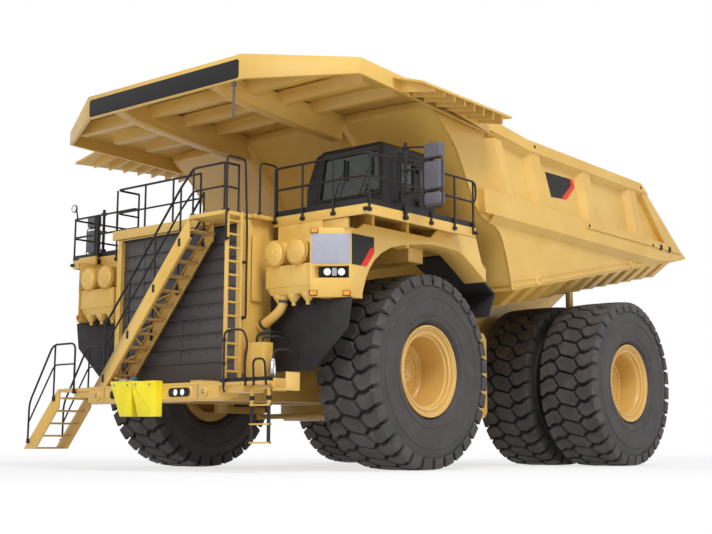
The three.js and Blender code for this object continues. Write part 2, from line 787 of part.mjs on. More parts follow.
function cabDoor() {
  const panel = box(cabOuter - cabWall, cabOuter, doorFront, doorRear, doorBottom, doorTop)
  const [y0, y1, z0, z1] = doorWindow
  const window = box(cabOuter - cabWall - 20, cabOuter + 20, y0, y1, z0, z1)
  const handle = box(cabOuter - 10, cabOuter + 45, doorFront + 40, doorFront + 70, 5450, 5650)
  return join(cut(panel, window), knuckles([5480 + seat, 6180 + seat], doorRear - 70, doorRear - 20), handle)
}

function sidePane([y0, y1, z0, z1]) {
  return box(cabOuter - 45, cabOuter - 25, y0 + seat, y1 - seat, z0 + seat, z1 - seat)
}

piece('cab_shell', cabShell(), black)
piece('cab_door', cabDoor(), black)
piece('windshield', prismY(windshieldOutline(seat), cabFront + 25, cabFront + 45), glass)
piece('door_glass', sidePane(doorWindow), glass)
piece('side_glass', sidePane(leftWindow), glass)

// ---- Handrails and mirrors -------------------------------------------------------------

const railHeight = 1050

// A handrail along a path above a floor: a top rail, a middle rail, and posts that start a
// little above the floor or hang over its edge.
function handrail(path, floor, posts, start = seat) {
  const at = (lift) => path.map(([x, y]) => [x, y, floor + lift])
  const stands = posts.map(([x, y]) =>
    rod([x, y, floor + start], [x, y, floor + railHeight], railTube, railSides))
  return join(rail(at(railHeight), railTube), rail(at(railHeight / 2), railTube * 0.9), stands)
}

const mirrorY = -1755
const railOut = railTube + seat
const railOver = -160

// The rail of one side deck, on the outside of its fascia.
function sideHandrail(front, floor) {
  const [x, y] = [deckEdge + railOut, front - railOut]
  const path = [[centreHalf + 60, y], [x, y], [x, deckRear - 40]]
  const posts = [path[0], [3000, y], [3800, y], [x, front + 50], [x, -900], [x, -100], path[2]]
  return handrail(path, floor, posts, railOver)
}

function centreHandrail() {
  const [x, y] = [-centreHalf + 60, centreFront + 60]
  const path = [[landingLeft - 500, y], [x, y], [x, rightDeckFront - 120]]
  return handrail(path, deckTop, [path[0], [-300, y], [-1200, y], path[1], path[2]])
}

// A mirror's post stands outside the side handrail's line, against the deck's fascia.
function mirror(front, floor) {
  const [x, y] = [deckEdge + seat + 35, front]
  const post = rod([x, y, floor - 180], [x, y, floor + 1360], 35, 8)
  const arms = [350, 1250].map((z) => rod([x, y, floor + z], [x + 360, y + 150, floor + z], 20, railSides))
  const head = box(x + 330, x + 700, y + 110, y + 200, floor + 60, floor + 1300)
  return join(post, arms, head)
}

function sideRailing(front, floor) {
  return join(sideHandrail(front, floor), mirror(mirrorY, floor))
}

piece('handrail_left', sideRailing(leftDeckFront, deckTop), black)
piece('handrail_right', mirrored(sideRailing(rightDeckFront, rightDeckTop)), black)
piece('handrail_centre', centreHandrail(), black)

// ---- Dump body -------------------------------------------------------------------------

const floorSlope = (floorRearZ - floorFrontZ) / (floorRearY - floorFrontY)
const floorUnder = (y) => floorFrontZ + (y - floorFrontY) * floorSlope
const floorOver = (y) => floorUnder(y) + floorPlate
const innerHalf = sideOuter - sideWall
const crownZ = (y) => 8100 - ((y - canopyFront) * 340) / (canopyRear - canopyFront)
const shoulderZ = (y) => 7870 - ((y - canopyShoulderY) * 160) / (canopyRear - canopyShoulderY)
const edgeX = (y) => canopyHalf - ((y - canopyShoulderY) * 220) / (canopyRear - canopyShoulderY)

// The canopy's left half: its top from the middle out, front row and rear row.
const middle = 0
const canopyTop = [
  [[middle, canopyFront, crownZ(canopyFront)], [canopyFrontHalf, canopyFront, crownZ(canopyFront)],
    [canopyHalf, canopyShoulderY, shoulderZ(canopyShoulderY)]],
  [[middle, canopyRear, crownZ(canopyRear)], [canopyFrontHalf, canopyRear, crownZ(canopyRear)],
    [edgeX(canopyRear), canopyRear, shoulderZ(canopyRear)]],
]
const lipBottom = canopyTop.map((row, r) => row.map(([x, y], c) => [x, y, [[7590, 7590, 7550],
  [7330, 7330, 7330]][r][c]]))

// Everything above the canopy plate's underside, to trim what stands below it.
const aboveHalf = layer(lowered(canopyTop, -900), lowered(canopyTop, canopyPlate + seat))
const aboveCanopy = join(aboveHalf, mirrored(aboveHalf))

const wallTopY = -100
const beamX = 1500

function canopyHalfShape() {
  const plate = layer(canopyTop, lowered(canopyTop, canopyPlate))
  const lip = 80
  const inside = [[-100, canopyFront + lip], [canopyFrontHalf - 20, canopyFront + lip],
    [canopyHalf - lip, canopyShoulderY + 45], [edgeX(canopyRear) - lip, canopyRear + 50],
    [-100, canopyRear + 50]]
  const rim = cut(layer(canopyTop, lipBottom), prismZ(inside, 7000, 8300))
  const beam = prismX([[canopyFront + 60, 7900], [canopyFront + 60, 7640], [-3400, 7480],
    [-1500, 7290], [wallTopY - 60, 7230], [wallTopY - 60, 7800]], beamX - 150, beamX + 150)
  const ribs = [-3050, -2050, -1050].map((y) => prismX([[y - 160, 7900], [y - 90, 7640],
    [y + 90, 7640], [y + 160, 7900]], middle, 3900))
  const above = layer(lowered(canopyTop, -900), lowered(canopyTop, canopyPlate - 20))
  return join(plate, rim, cut(join(beam, ribs), above), wing())
}

function wing() {
  const inner = (y) => [edgeX(y) - 40, y, shoulderZ(y) - 60]
  const top = [
    [inner(-1900), [wingTip, -2120, 7420]],
    [inner(1650), [5000, 1600, 7560]],
  ]
  const plate = layer(top, lowered(top, 50))
  const ribs = []
  for (let i = 0; i < 8; i += 1) {
    const y = -1650 + i * 420
    const tip = wingTip - 130 - i * 50
    ribs.push(prismY([[edgeX(y) - 40, 7900], [tip, 7700], [tip, 7340], [edgeX(y) - 40, 7480]], y, y + 50))
  }
  const above = layer(lowered(top, -700), lowered(top, 30))
  return join(plate, cut(join(ribs), above))
}

// The front wall's outer face, from under the canopy down to the floor's front edge.
const wallFace = smooth([[wallTopY, 7600], [500, 7120], [850, 6760], [1350, 5900], [1700, 5480],
  [2100, 5390], [2440, 5200], [2620, 4860], [2780, 4400],
  [floorFrontY - 30, floorOver(floorFrontY - 30) + seat]], 18)
const wallThick = 80

function frontWall() {
  const inner = wallFace.map(([y, z]) => [y + wallThick, z + wallThick * 0.6]).reverse()
  inner[0] = [floorFrontY + 60, floorOver(floorFrontY + 60) + seat]
  const profile = [...wallFace, ...inner, [wallTopY + wallThick, 8000], [wallTopY, 8000]]
  const sheet = prismX(profile, -innerHalf + seat, innerHalf - seat)
  const outer = wallFace.slice(0, 9)
  const profileOfRib = [...shifted(outer, 20), ...shifted(outer, -160).reverse(), [wallTopY - 100, 7900],
    [wallTopY + 20, 7900]]
  const ribs = [-1, 1].map((s) => prismX(profileOfRib, s * (beamX - 150), s * (beamX + 150)))
  const aheadOfBeams = box(-2000, 2000, -2000, wallTopY - 60 + seat, 7000, 8500)
  return cut(join(sheet, cut(join(ribs), aheadOfBeams)), aboveCanopy)
}

function bodyFloor() {
  const plate = prismX([[floorFrontY, floorFrontZ], [floorRearY, floorRearZ],
    [floorRearY, floorRearZ + floorPlate], [floorFrontY, floorFrontZ + floorPlate]],
  -innerHalf + seat, innerHalf - seat)
  const bolsters = []
  for (let i = 0; i < 12; i += 1) {
    const y = floorFrontY + 400 + i * 690
    const z = floorUnder(y)
    bolsters.push(prismY([[-3950, z + 20], [-3450, z - bolsterDepth], [3450, z - bolsterDepth],
      [3950, z + 20], [3950, z + 60], [-3950, z + 60]], y, y + bolsterWidth))
  }
  const ejectors = [-1, 1].map((s) => box(s * (rearHalfTrack - 60), s * (rearHalfTrack + 60),
    wheelbase - 230, wheelbase - 60, 3500, floorUnder(wheelbase - 100) + 50))
  return join(plate, bolsters, ejectors)
}

const lugInner = railOuter + 30 + seat
const lugOuter = lugInner + 180
const lug = 260

// Two plates for one hoist's upper eye, with room for it between them.
function hoistLugs(s) {
  const outline = [[hoistEyeY - 170, 4300], [hoistEyeY - 150, 3800], [hoistEyeY - 80, hoistEyeZ - 150],
    [hoistEyeY + 80, hoistEyeZ - 150], [hoistEyeY + 150, 3800], [hoistEyeY + 170, 4300]]
  const inner = prismX(outline, s * 990, s * (hoistX - eyeHalf - pass))
  const outer = prismX(outline, s * (hoistX + eyeHalf + pass), s * (hoistX + eyeHalf + 78))
  const bridge = box(s * 990, s * (hoistX + eyeHalf + 78), hoistEyeY - 150, hoistEyeY + 150, 4120, 4290)
  return join(inner, outer, bridge)
}

// The lug that turns on the frame's pivot pin, with a pad up to the body's beam.
function pivotLug(s) {
  const round = rod([s * lugInner, pivotY, pivotZ], [s * lugOuter, pivotY, pivotZ], lug, 16)
  const neck = prismX([[pivotY - lug, pivotZ], [pivotY + lug, pivotZ], [pivotY + 500, 3900],
    [pivotY - 500, 3900]], s * lugInner, s * lugOuter)
  const pad = box(s * 990, s * lugOuter, pivotY - 400, pivotY + 400, railTopRear + 60, 3890)
  const bore = rod([s * 900, pivotY, pivotZ], [s * 1300, pivotY, pivotZ], pinRadius + 4, 16)
  return cut(join(round, neck, pad), bore)
}

// The two beams along the frame's rails, held apart by ties.
function bodyBeams() {
  const top = (y) => floorUnder(y - bolsterWidth) - bolsterDepth - seat
  const bottomFront = railTopFront + 340
  const bottomRear = railTopRear + 14
  const outline = [[3000, bottomFront], [3000, top(3000)], [10700, top(10700)],
    [10700, top(10700) - 120], [8900, 3900], [8250, bottomRear], [6000, bottomRear], [5200, 3314]]
  const beams = [-1, 1].map((s) => prismX(outline, s * 700, s * 1000))
  const ties = [3100, 5600, 8700].map((y) => box(-720, 720, y, y + 300,
    Math.max(top(y) - 300, railTopRear), top(y) - 20))
  return join(beams, ties, [-1, 1].map(pivotLug), [-1, 1].map(hoistLugs))
}

function bodySide() {
  const face = [...wallFace.slice(0, -1), [floorFrontY, floorFrontZ], [floorRearY, floorRearZ],
    [tailTipY, tailTipZ], [9040, 7400], [3370, 7520], [canopyRear + seat, 7710],
    [canopyRear + seat, 8000], [wallTopY, 8000]]
  const plate = prismX(face, innerHalf, sideOuter)
  const railTop = prismX([[canopyRear + seat, 7710], [3370, 7520], [9040, 7400], [9400, 7160],
    [3500, 7260], [canopyRear + seat, 7440]], sideOuter - 10, bodyHalf)
  const mid = prismX([[1560, 6070], [11050, 5930], [tailTipY, tailTipZ], [11200, 5560], [9900, 5420],
    [2000, 5540], [1610, 5540]], sideOuter - 10, bodyHalf)
  const rear = prismX([[9040, 7400], [tailTipY, tailTipZ], [10400, 5900], [9100, 7100]],
    sideOuter - 10, bodyHalf - 30)
  const ribs = [[2150, 2750], [3750, 4150], [6100, 6450], [8500, 8950]].map(([a, b]) =>
    prismX([[a - 170, 7300], [a + 170, 7300], [b + 170, 5900], [b - 170, 5900]],
      sideOuter - 10, bodyHalf - 30))
  return cut(join(plate, railTop, mid, rear, ribs), aboveCanopy)
}

piece('body_floor', bodyFloor(), yellow)
piece('body_beams', bodyBeams(), yellow)
piece('body_front_wall', frontWall(), yellow)
pair('body_side', bodySide(), yellow)
piece('canopy', join(canopyHalfShape(), mirrored(canopyHalfShape())), yellow)

// ---- Hoist cylinders -------------------------------------------------------------------

const barrelRadius = 190
const stageRadius = 150
const stemRadius = 110
const slide = 0.6
const barrelEnd = 1700
const hoistTilt = Math.atan2(hoistEyeY - hoistFootY, hoistEyeZ - hoistFootZ)
const hoistLength = Math.hypot(hoistEyeY - hoistFootY, hoistEyeZ - hoistFootZ)

// A point at a distance from the foot pin along the cylinder.
function alongHoist(distance) {
  return [hoistX, hoistFootY + distance * Math.sin(hoistTilt), hoistFootZ + distance * Math.cos(hoistTilt)]
}

const tubeBetween = (from, to, radius) => rod(alongHoist(from), alongHoist(to), radius, 16)

function hoistBarrel() {
  const shell = cut(tubeBetween(60, barrelEnd, barrelRadius),
    tubeBetween(260, barrelEnd + 20, stageRadius + slide))
  const eye = rod([footFace + seat, hoistFootY, hoistFootZ],
    [hoistX + 150, hoistFootY, hoistFootZ], 150, 16)
  return join(shell, eye)
}

function hoistStage() {
  return cut(tubeBetween(270, barrelEnd + 80, stageRadius),
    tubeBetween(330, barrelEnd + 100, stemRadius + slide))
}

function hoistRod() {
  const stem = tubeBetween(340, hoistLength - 60, stemRadius)
  const eye = rod([hoistX - eyeHalf, hoistEyeY, hoistEyeZ], [hoistX + eyeHalf, hoistEyeY, hoistEyeZ], 125, 16)
  return join(stem, eye)
}

pair('hoist_barrel', hoistBarrel(), yellow)
pair('hoist_stage', hoistStage(), steel)
pair('hoist_rod', hoistRod(), steel)

// ---- Place -----------------------------------------------------------------------------

const size = new THREE.Box3().setFromObject(truck)
truck.position.x = -(size.min.x + size.max.x) / 2
truck.position.y = -(size.min.y + size.max.y) / 2
truck.position.z = -size.min.z

export default truck
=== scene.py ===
"""The looks of a mining haul truck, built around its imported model."""
import json
import math

import bmesh
import bpy
from mathutils import Matrix, Vector

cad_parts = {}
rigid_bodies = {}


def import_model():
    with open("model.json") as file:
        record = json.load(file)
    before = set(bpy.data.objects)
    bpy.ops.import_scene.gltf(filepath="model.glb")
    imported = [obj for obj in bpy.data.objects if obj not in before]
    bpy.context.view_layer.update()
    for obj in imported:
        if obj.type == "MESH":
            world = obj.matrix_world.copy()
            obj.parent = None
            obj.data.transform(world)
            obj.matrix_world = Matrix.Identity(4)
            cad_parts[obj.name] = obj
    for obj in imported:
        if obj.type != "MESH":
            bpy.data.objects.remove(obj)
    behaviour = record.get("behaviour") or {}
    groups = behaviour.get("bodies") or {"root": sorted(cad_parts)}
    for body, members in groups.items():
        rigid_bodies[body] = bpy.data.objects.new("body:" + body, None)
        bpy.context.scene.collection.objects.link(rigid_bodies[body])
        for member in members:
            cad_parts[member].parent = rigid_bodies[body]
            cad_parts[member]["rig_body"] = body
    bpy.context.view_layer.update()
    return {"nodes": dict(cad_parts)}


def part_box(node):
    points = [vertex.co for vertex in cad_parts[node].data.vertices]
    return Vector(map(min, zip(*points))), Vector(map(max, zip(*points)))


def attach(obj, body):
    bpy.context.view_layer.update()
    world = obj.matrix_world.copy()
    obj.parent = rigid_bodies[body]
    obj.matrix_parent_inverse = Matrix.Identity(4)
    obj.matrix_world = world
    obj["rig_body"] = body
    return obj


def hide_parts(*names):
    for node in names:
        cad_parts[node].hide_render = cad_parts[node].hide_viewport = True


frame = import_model()


# ---- Places worked out from the frame ----------------------------------------------------

def middle(name):
    """The middle of a node's box."""
    low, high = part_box(name)
    return (low + high) / 2


FRONT_AXLE = middle("front_tyre_left")
REAR_AXLE = middle("rear_tyre_outer_left")
AXLE_Y = FRONT_AXLE.y
AXLE_Z = FRONT_AXLE.z
SIDES = {"left": 1, "right": -1}


def at(x, y, z):
    """A point in metres: x to the left, y back from the front axle, z up from the ground."""
    return Vector((x, y + AXLE_Y, z))


# ---- Camera, floor and light -------------------------------------------------------------

def make_camera():
    data = bpy.data.cameras.new("camera")
    camera = bpy.data.objects.new("camera", data)
    bpy.context.scene.collection.objects.link(camera)
    camera.location = at(19.031, -20.231, 0.547)
    camera.rotation_euler = (math.pi / 2 + 0.167, 0, 0.691)
    data.lens = 61.75
    data.sensor_width = 36
    data.shift_x = -0.0192
    data.shift_y = -0.0413
    bpy.context.scene.camera = camera


def srgb(code, alpha=1.0):
    """A colour written in hex, turned to the linear values that shaders use."""
    channels = [int(code[i:i + 2], 16) / 255 for i in (1, 3, 5)]
    linear = [c / 12.92 if c <= 0.04045 else ((c + 0.055) / 1.055) ** 2.4 for c in channels]
    return (*linear, alpha)


def add(tree, kind, sockets=None, **settings):
    """Adds a node with its settings, and sets or links its input sockets."""
    made = tree.nodes.new(kind)
    for name, value in settings.items():
        setattr(made, name, value)
    for socket, source in (sockets or {}).items():
        if isinstance(source, bpy.types.NodeSocket):
            tree.links.new(source, made.inputs[socket])
        else:
            made.inputs[socket].default_value = source
    return made


def seen_directly(tree):
    """1 for what the camera, a reflection or a clear pane sees, and 0 for light on the truck."""
    path = add(tree, "ShaderNodeLightPath")
    first = add(tree, "ShaderNodeMath", {0: path.outputs["Is Camera Ray"],
                                         1: path.outputs["Is Glossy Ray"]}, operation="MAXIMUM")
    return add(tree, "ShaderNodeMath", {0: first.outputs[0], 1: path.outputs["Is Transmission Ray"]},
               operation="MAXIMUM").outputs[0]


def make_world():
    world = bpy.data.worlds.new("studio")
    bpy.context.scene.world = world
    world.use_nodes = True
    tree = world.node_tree
    tree.nodes.clear()
    white = add(tree, "ShaderNodeBackground", {"Color": srgb("#ffffff"), "Strength": 1.0})
    soft = add(tree, "ShaderNodeBackground", {"Color": srgb("#f4f6ff"), "Strength": 0.46})
    mix = add(tree, "ShaderNodeMixShader", {0: seen_directly(tree), 1: soft.outputs[0], 2: white.outputs[0]})
    add(tree, "ShaderNodeOutputWorld", {"Surface": mix.outputs[0]})


def make_floor():
    """A white floor that keeps a light shadow under the truck."""
    shape = bmesh.new()
    bmesh.ops.create_grid(shape, x_segments=1, y_segments=1, size=400)
    mesh = bpy.data.meshes.new("studio_floor")
    shape.to_mesh(mesh)
    floor = bpy.data.objects.new("studio_floor", mesh)
    bpy.context.scene.collection.objects.link(floor)
    material = bpy.data.materials.new("studio_floor")
    material.use_nodes = True
    tree = material.node_tree
    tree.nodes.clear()
    lit = add(tree, "ShaderNodeBsdfDiffuse", {"Color": srgb("#f2f2f2")})
    glow = add(tree, "ShaderNodeEmission", {"Color": srgb("#ffffff"), "Strength": 1.0})
    # The shade fades out between 12 and 40 m, so the floor has no edge against the white.
    place = add(tree, "ShaderNodeTexCoord").outputs["Object"]
    reach = add(tree, "ShaderNodeVectorMath", {0: place}, operation="LENGTH").outputs["Value"]
    glow_share = add(tree, "ShaderNodeMapRange", {"Value": reach, "From Min": 12.0, "From Max": 40.0,
                                                  "To Min": 0.72, "To Max": 1.0}).outputs[0]
    share = add(tree, "ShaderNodeMath", {0: seen_directly(tree), 1: glow_share}, operation="MULTIPLY")
    mix = add(tree, "ShaderNodeMixShader", {0: share.outputs[0], 1: lit.outputs[0], 2: glow.outputs[0]})
    add(tree, "ShaderNodeOutputMaterial", {"Surface": mix.outputs[0]})
    mesh.materials.append(material)


def make_lamp(name, place, target, size, power):
    data = bpy.data.lights.new(name, "AREA")
    data.size = size
    data.energy = power
    lamp = bpy.data.objects.new(name, data)
    bpy.context.scene.collection.objects.link(lamp)
    lamp.location = place
    lamp.rotation_euler = (target - place).to_track_quat("-Z", "Y").to_euler()


make_camera()
make_world()
make_floor()
make_lamp("key_lamp", at(20, -9, 27), at(2, 3, 3), 11, 6000)
make_lamp("front_lamp", at(6, -30, 12), at(0, 0, 3), 14, 2500)
make_lamp("low_lamp", at(22, 5, 1.6), at(4, 6, 5), 8, 800)
make_lamp("back_lamp", at(-20, 26, 18), at(0, 4, 4), 14, 3100)
bpy.context.scene.view_settings.view_transform = "Standard"


# ---- Finishes ------------------------------------------------------------------------------

def begin_material(name):
    material = bpy.data.materials.new(name)
    material.use_nodes = True
    tree = material.node_tree
    tree.nodes.clear()
    place = add(tree, "ShaderNodeTexCoord").outputs["Object"]
    return material, tree, place


def end_material(tree, shader):
    add(tree, "ShaderNodeOutputMaterial", {"Surface": shader.outputs[0]})


def shade_between(tree, amount, first, second):
    """A mix of two colours by an amount from 0 to 1."""
    mixed = add(tree, "ShaderNodeMix", {0: amount, 6: first, 7: second}, data_type="RGBA")
    return mixed.outputs[2]


def noise(tree, place, size, detail=3.0, distortion=0.0):
    """A noise whose features are about this many metres across."""
    return add(tree, "ShaderNodeTexNoise", {"Vector": place, "Scale": 1 / size, "Detail": detail,
                                            "Distortion": distortion}).outputs[0]


def ramp(tree, value, low, high):
    """Stretches a value from low..high to 0..1."""
    return add(tree, "ShaderNodeMapRange", {"Value": value, "From Min": low, "From Max": high}).outputs[0]


def bump(tree, height, strength, distance, normal=None):
    sockets = {"Height": height, "Strength": strength, "Distance": distance}
    if normal is not None:
        sockets["Normal"] = normal
    return add(tree, "ShaderNodeBump", sockets).outputs[0]


def machine_paint(name, base, shade, dust, roughness=0.42, wave=0.010):
    """Sprayed polyurethane enamel on welded plate: satin, slightly wavy where the plate has
    pulled at its welds, a little darker in patches, with dry dust that dulls the gloss."""
    material, tree, place = begin_material(name)
    patches = ramp(tree, noise(tree, place, 1.4), 0.35, 0.7)
    colour = shade_between(tree, patches, srgb(base), srgb(shade))
    # Dust is drawn in blotches of 12 cm, coarser than real, so that it shows from 25 m.
    blotches = ramp(tree, noise(tree, place, 0.12, 6.0, 0.4), 0.52, 0.85)
    thin = add(tree, "ShaderNodeMath", {0: blotches, 1: 0.28}, operation="MULTIPLY").outputs[0]
    colour = shade_between(tree, thin, colour, srgb(dust))
    rough = add(tree, "ShaderNodeMapRange", {"Value": blotches, "To Min": roughness,
                                             "To Max": roughness + 0.25}).outputs[0]
    plate = bump(tree, noise(tree, place, 0.9, 1.0), 0.35, wave)
    peel = bump(tree, noise(tree, place, 0.025, 2.0), 0.12, 0.002, plate)
    shader = add(tree, "ShaderNodeBsdfPrincipled", {"Base Color": colour, "Roughness": rough,
                                                    "IOR": 1.5, "Normal": peel,
                                                    "Coat Weight": 0.12, "Coat Roughness": 0.25})
    end_material(tree, shader)
    return material


def powder_coat(name, base, wear):
    """Black powder coat on steel tube and sheet: an even, fine texture with scuffed places."""
    material, tree, place = begin_material(name)
    scuffs = ramp(tree, noise(tree, place, 0.2, 5.0), 0.5, 0.8)
    colour = shade_between(tree, scuffs, srgb(base), srgb(wear))
    grain = bump(tree, noise(tree, place, 0.012, 2.0), 0.2, 0.001)
    shader = add(tree, "ShaderNodeBsdfPrincipled", {"Base Color": colour, "Roughness": 0.48,
                                                    "Specular IOR Level": 0.3, "Normal": grain})
    end_material(tree, shader)
    return material


def tyre_rubber(name, base, dusty, roughness):
    """Carbon-black tyre rubber: dull, with pale dust in its low places and a moulded grain."""
    material, tree, place = begin_material(name)
    cloud = ramp(tree, noise(tree, place, 0.35, 6.0, 0.3), 0.4, 0.75)
    colour = shade_between(tree, cloud, srgb(base), srgb(dusty))
    grain = bump(tree, noise(tree, place, 0.03, 4.0), 0.3, 0.004)
    shader = add(tree, "ShaderNodeBsdfPrincipled", {"Base Color": colour, "Roughness": roughness,
                                                    "Specular IOR Level": 0.35, "Normal": grain})
    end_material(tree, shader)
    return material


def moulded_plastic(name, base, shade, roughness=0.35):
    """Moulded polyethylene: glossy, with faint flow marks."""
    material, tree, place = begin_material(name)
    flow = ramp(tree, noise(tree, place, 0.3, 2.0, 0.6), 0.3, 0.8)
    colour = shade_between(tree, flow, srgb(base), srgb(shade))
    skin = bump(tree, noise(tree, place, 0.04, 2.0), 0.1, 0.002)
    shader = add(tree, "ShaderNodeBsdfPrincipled", {"Base Color": colour, "Roughness": roughness,
                                                    "Specular IOR Level": 0.35, "Normal": skin})
    end_material(tree, shader)
    return material


def ground_metal(name, base, shade, roughness):
    """Ground and plated steel: reflective, with fine grinding streaks along its height."""
    material, tree, place = begin_material(name)
    stretched = add(tree, "ShaderNodeMapping", {"Vector": place, "Scale": (60, 60, 4)}).outputs[0]
    streaks = add(tree, "ShaderNodeTexNoise", {"Vector": stretched, "Scale": 1.0, "Detail": 3.0}).outputs[0]
    colour = shade_between(tree, streaks, srgb(base), srgb(shade))
    rough = add(tree, "ShaderNodeMapRange", {"Value": streaks, "To Min": roughness,
                                             "To Max": roughness + 0.12}).outputs[0]
    shader = add(tree, "ShaderNodeBsdfPrincipled", {"Base Color": colour, "Roughness": rough,
                                                    "Metallic": 1.0})
    end_material(tree, shader)
    return material


def tinted_glass(name, tint):
    """Tinted laminated safety glass: clear and smooth, darker and greener than the sky."""
    material, tree, place = begin_material(name)
    faint = ramp(tree, noise(tree, place, 0.5, 1.0), 0.2, 0.9)
    rough = add(tree, "ShaderNodeMapRange", {"Value": faint, "To Min": 0.02, "To Max": 0.07}).outputs[0]
    shader = add(tree, "ShaderNodeBsdfPrincipled", {"Base Color": srgb(tint), "Roughness": rough,
                                                    "IOR": 1.5, "Transmission Weight": 0.9})
    end_material(tree, shader)
    return material


def lens_plastic(name, base, deep, glow):
    """A moulded polycarbonate lens: clear gloss over fine prisms."""
    material, tree, place = begin_material(name)
    prisms = add(tree, "ShaderNodeTexVoronoi", {"Vector": place, "Scale": 45.0}).outputs["Distance"]
    colour = shade_between(tree, prisms, srgb(base), srgb(deep))
    face = bump(tree, prisms, 0.4, 0.004)
    shader = add(tree, "ShaderNodeBsdfPrincipled", {"Base Color": colour, "Roughness": 0.12, "IOR": 1.58,
                                                    "Normal": face, "Emission Color": srgb(base),
                                                    "Emission Strength": glow})
    end_material(tree, shader)
    return material


def woven_cloth(name, base, thread):
    """Woven polyester on the driver's seat: matt, with threads drawn 8 mm apart to show."""
    material, tree, place = begin_material(name)
    weave = add(tree, "ShaderNodeTexWave", {"Vector": place, "Scale": 40.0, "Distortion": 1.0},
                bands_direction="DIAGONAL").outputs["Fac"]
    colour = shade_between(tree, weave, srgb(base), srgb(thread))
    threads = bump(tree, weave, 0.4, 0.003)
    shader = add(tree, "ShaderNodeBsdfPrincipled", {"Base Color": colour, "Roughness": 0.85,
                                                    "Normal": threads, "Sheen Weight": 0.3})
    end_material(tree, shader)
    return material


BODY_YELLOW = machine_paint("body_yellow_enamel", "#dcb45c", "#d2a64b", "#cdb488")
PANEL_YELLOW = machine_paint("panel_yellow_enamel", "#e0b85e", "#d6aa4e", "#cdb488", 0.38, 0.006)
RIM_GOLD = machine_paint("rim_gold_enamel", "#dab162", "#cba052", "#b99a66", 0.36, 0.004)
PANEL_GREY = machine_paint("panel_dark_grey_enamel", "#443f3f", "#3b3636", "#5b5551", 0.55, 0.006)
TUBE_BLACK = powder_coat("black_powder_coat", "#1b191a", "#2a2828")
CAB_BLACK = powder_coat("cab_black_enamel", "#171515", "#211e1e")
WALL_RUBBER = tyre_rubber("sidewall_rubber", "#3f3b3b", "#4a4545", 0.62)
TREAD_RUBBER = tyre_rubber("tread_rubber", "#43403f", "#5a5552", 0.7)
# Darker rubber for the groove floor: painted shade in the recesses between the tread blocks.
GROOVE_SHADE_RUBBER = tyre_rubber("groove_painted_shade_rubber", "#1f1d1d", "#2b2827", 0.85)
GUARD_RUBBER = tyre_rubber("mudguard_rubber", "#252222", "#302c2c", 0.7)
CHOCK_YELLOW = moulded_plastic("chock_polyethylene", "#f7e52c", "#e8d21f")
LAMP_AMBER = lens_plastic("amber_polycarbonate", "#f0a020", "#c87408", 0.15)
LAMP_WHITE = lens_plastic("clear_polycarbonate", "#f4f4f2", "#b9bcc0", 0.35)
PLATE_GREY = moulded_plastic("grey_vinyl", "#a9aab4", "#9fa0ab", 0.4)
PLATE_BLACK = moulded_plastic("black_vinyl", "#121011", "#191718", 0.55)
PLATE_RED = moulded_plastic("red_vinyl", "#e03020", "#cc2818", 0.35)
MIRROR_GREY = moulded_plastic("mirror_shell_abs", "#626066", "#56545a", 0.35)
HOIST_STEEL = ground_metal("hard_chromed_steel", "#c8c8ca", "#b4b4b8", 0.14)
BOLT_STEEL = ground_metal("zinc_plated_steel", "#b9b6ac", "#97948b", 0.32)
MIRROR_GLASS = ground_metal("silvered_glass", "#d8dcdf", "#cfd3d7", 0.04)
CAB_GLASS = tinted_glass("tinted_safety_glass", "#6c7c6c")
SEAT_CLOTH = woven_cloth("seat_polyester", "#3a3a3e", "#55555a")


# ---- Shapes --------------------------------------------------------------------------------

def finish_piece(name, mesh, material, body, replaced=(), smooth=None):
    """Makes a mesh a finished piece of the truck, on its body."""
    mesh.name = name
    piece = bpy.data.objects.new(name, mesh)
    bpy.context.scene.collection.objects.link(piece)
    if material is not None:
        mesh.materials.clear()
        mesh.materials.append(material)
    if smooth is not None:
        mesh.set_sharp_from_angle(angle=math.radians(smooth))
        mesh.polygons.foreach_set("use_smooth", [True] * len(mesh.polygons))
    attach(piece, body)
    if replaced:
        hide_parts(*replaced)
    return piece


def settled(source, width, segments=2):
    """A bmesh turned to a mesh whose sharp edges are rounded by this width."""
    mesh = bpy.data.meshes.new("draft")
    bmesh.ops.remove_doubles(source, verts=source.verts, dist=1e-5)
    bmesh.ops.recalc_face_normals(source, faces=source.faces)
    source.to_mesh(mesh)
    source.free()
    if not width:
        return mesh
    holder = bpy.data.objects.new("draft", mesh)
    bpy.context.scene.collection.objects.link(holder)
    bevel = holder.modifiers.new("edges", "BEVEL")
    bevel.width = width
    bevel.segments = segments
    bevel.limit_method = "ANGLE"
    bevel.angle_limit = math.radians(35)
    return baked(holder)


def baked(holder):
    """The evaluated mesh of an object, which is then removed."""
    graph = bpy.context.evaluated_depsgraph_get()
    mesh = bpy.data.meshes.new_from_object(holder.evaluated_get(graph))
    bpy.data.objects.remove(holder)
    return mesh


def block(shape, low, high):
    """Adds a box between two corners."""
    size = Vector(high) - Vector(low)
    place = Matrix.Translation((Vector(low) + Vector(high)) / 2) @ Matrix.Diagonal((*size, 1))
    bmesh.ops.create_cube(shape, size=1, matrix=place)


def plate(shape, corners, thickness):
    """Adds a flat plate: its corners in order, and its thickness along their normal."""
    corners = [Vector(c) for c in corners]
    across = (corners[1] - corners[0]).cross(corners[-1] - corners[0]).normalized() * thickness
    front = [shape.verts.new(c) for c in corners]
    back = [shape.verts.new(c + across) for c in corners]
    shape.faces.new(front[::-1])
    shape.faces.new(back)
    for i in range(len(corners)):
        j = (i + 1) % len(corners)
        shape.faces.new((front[i], front[j], back[j], back[i]))


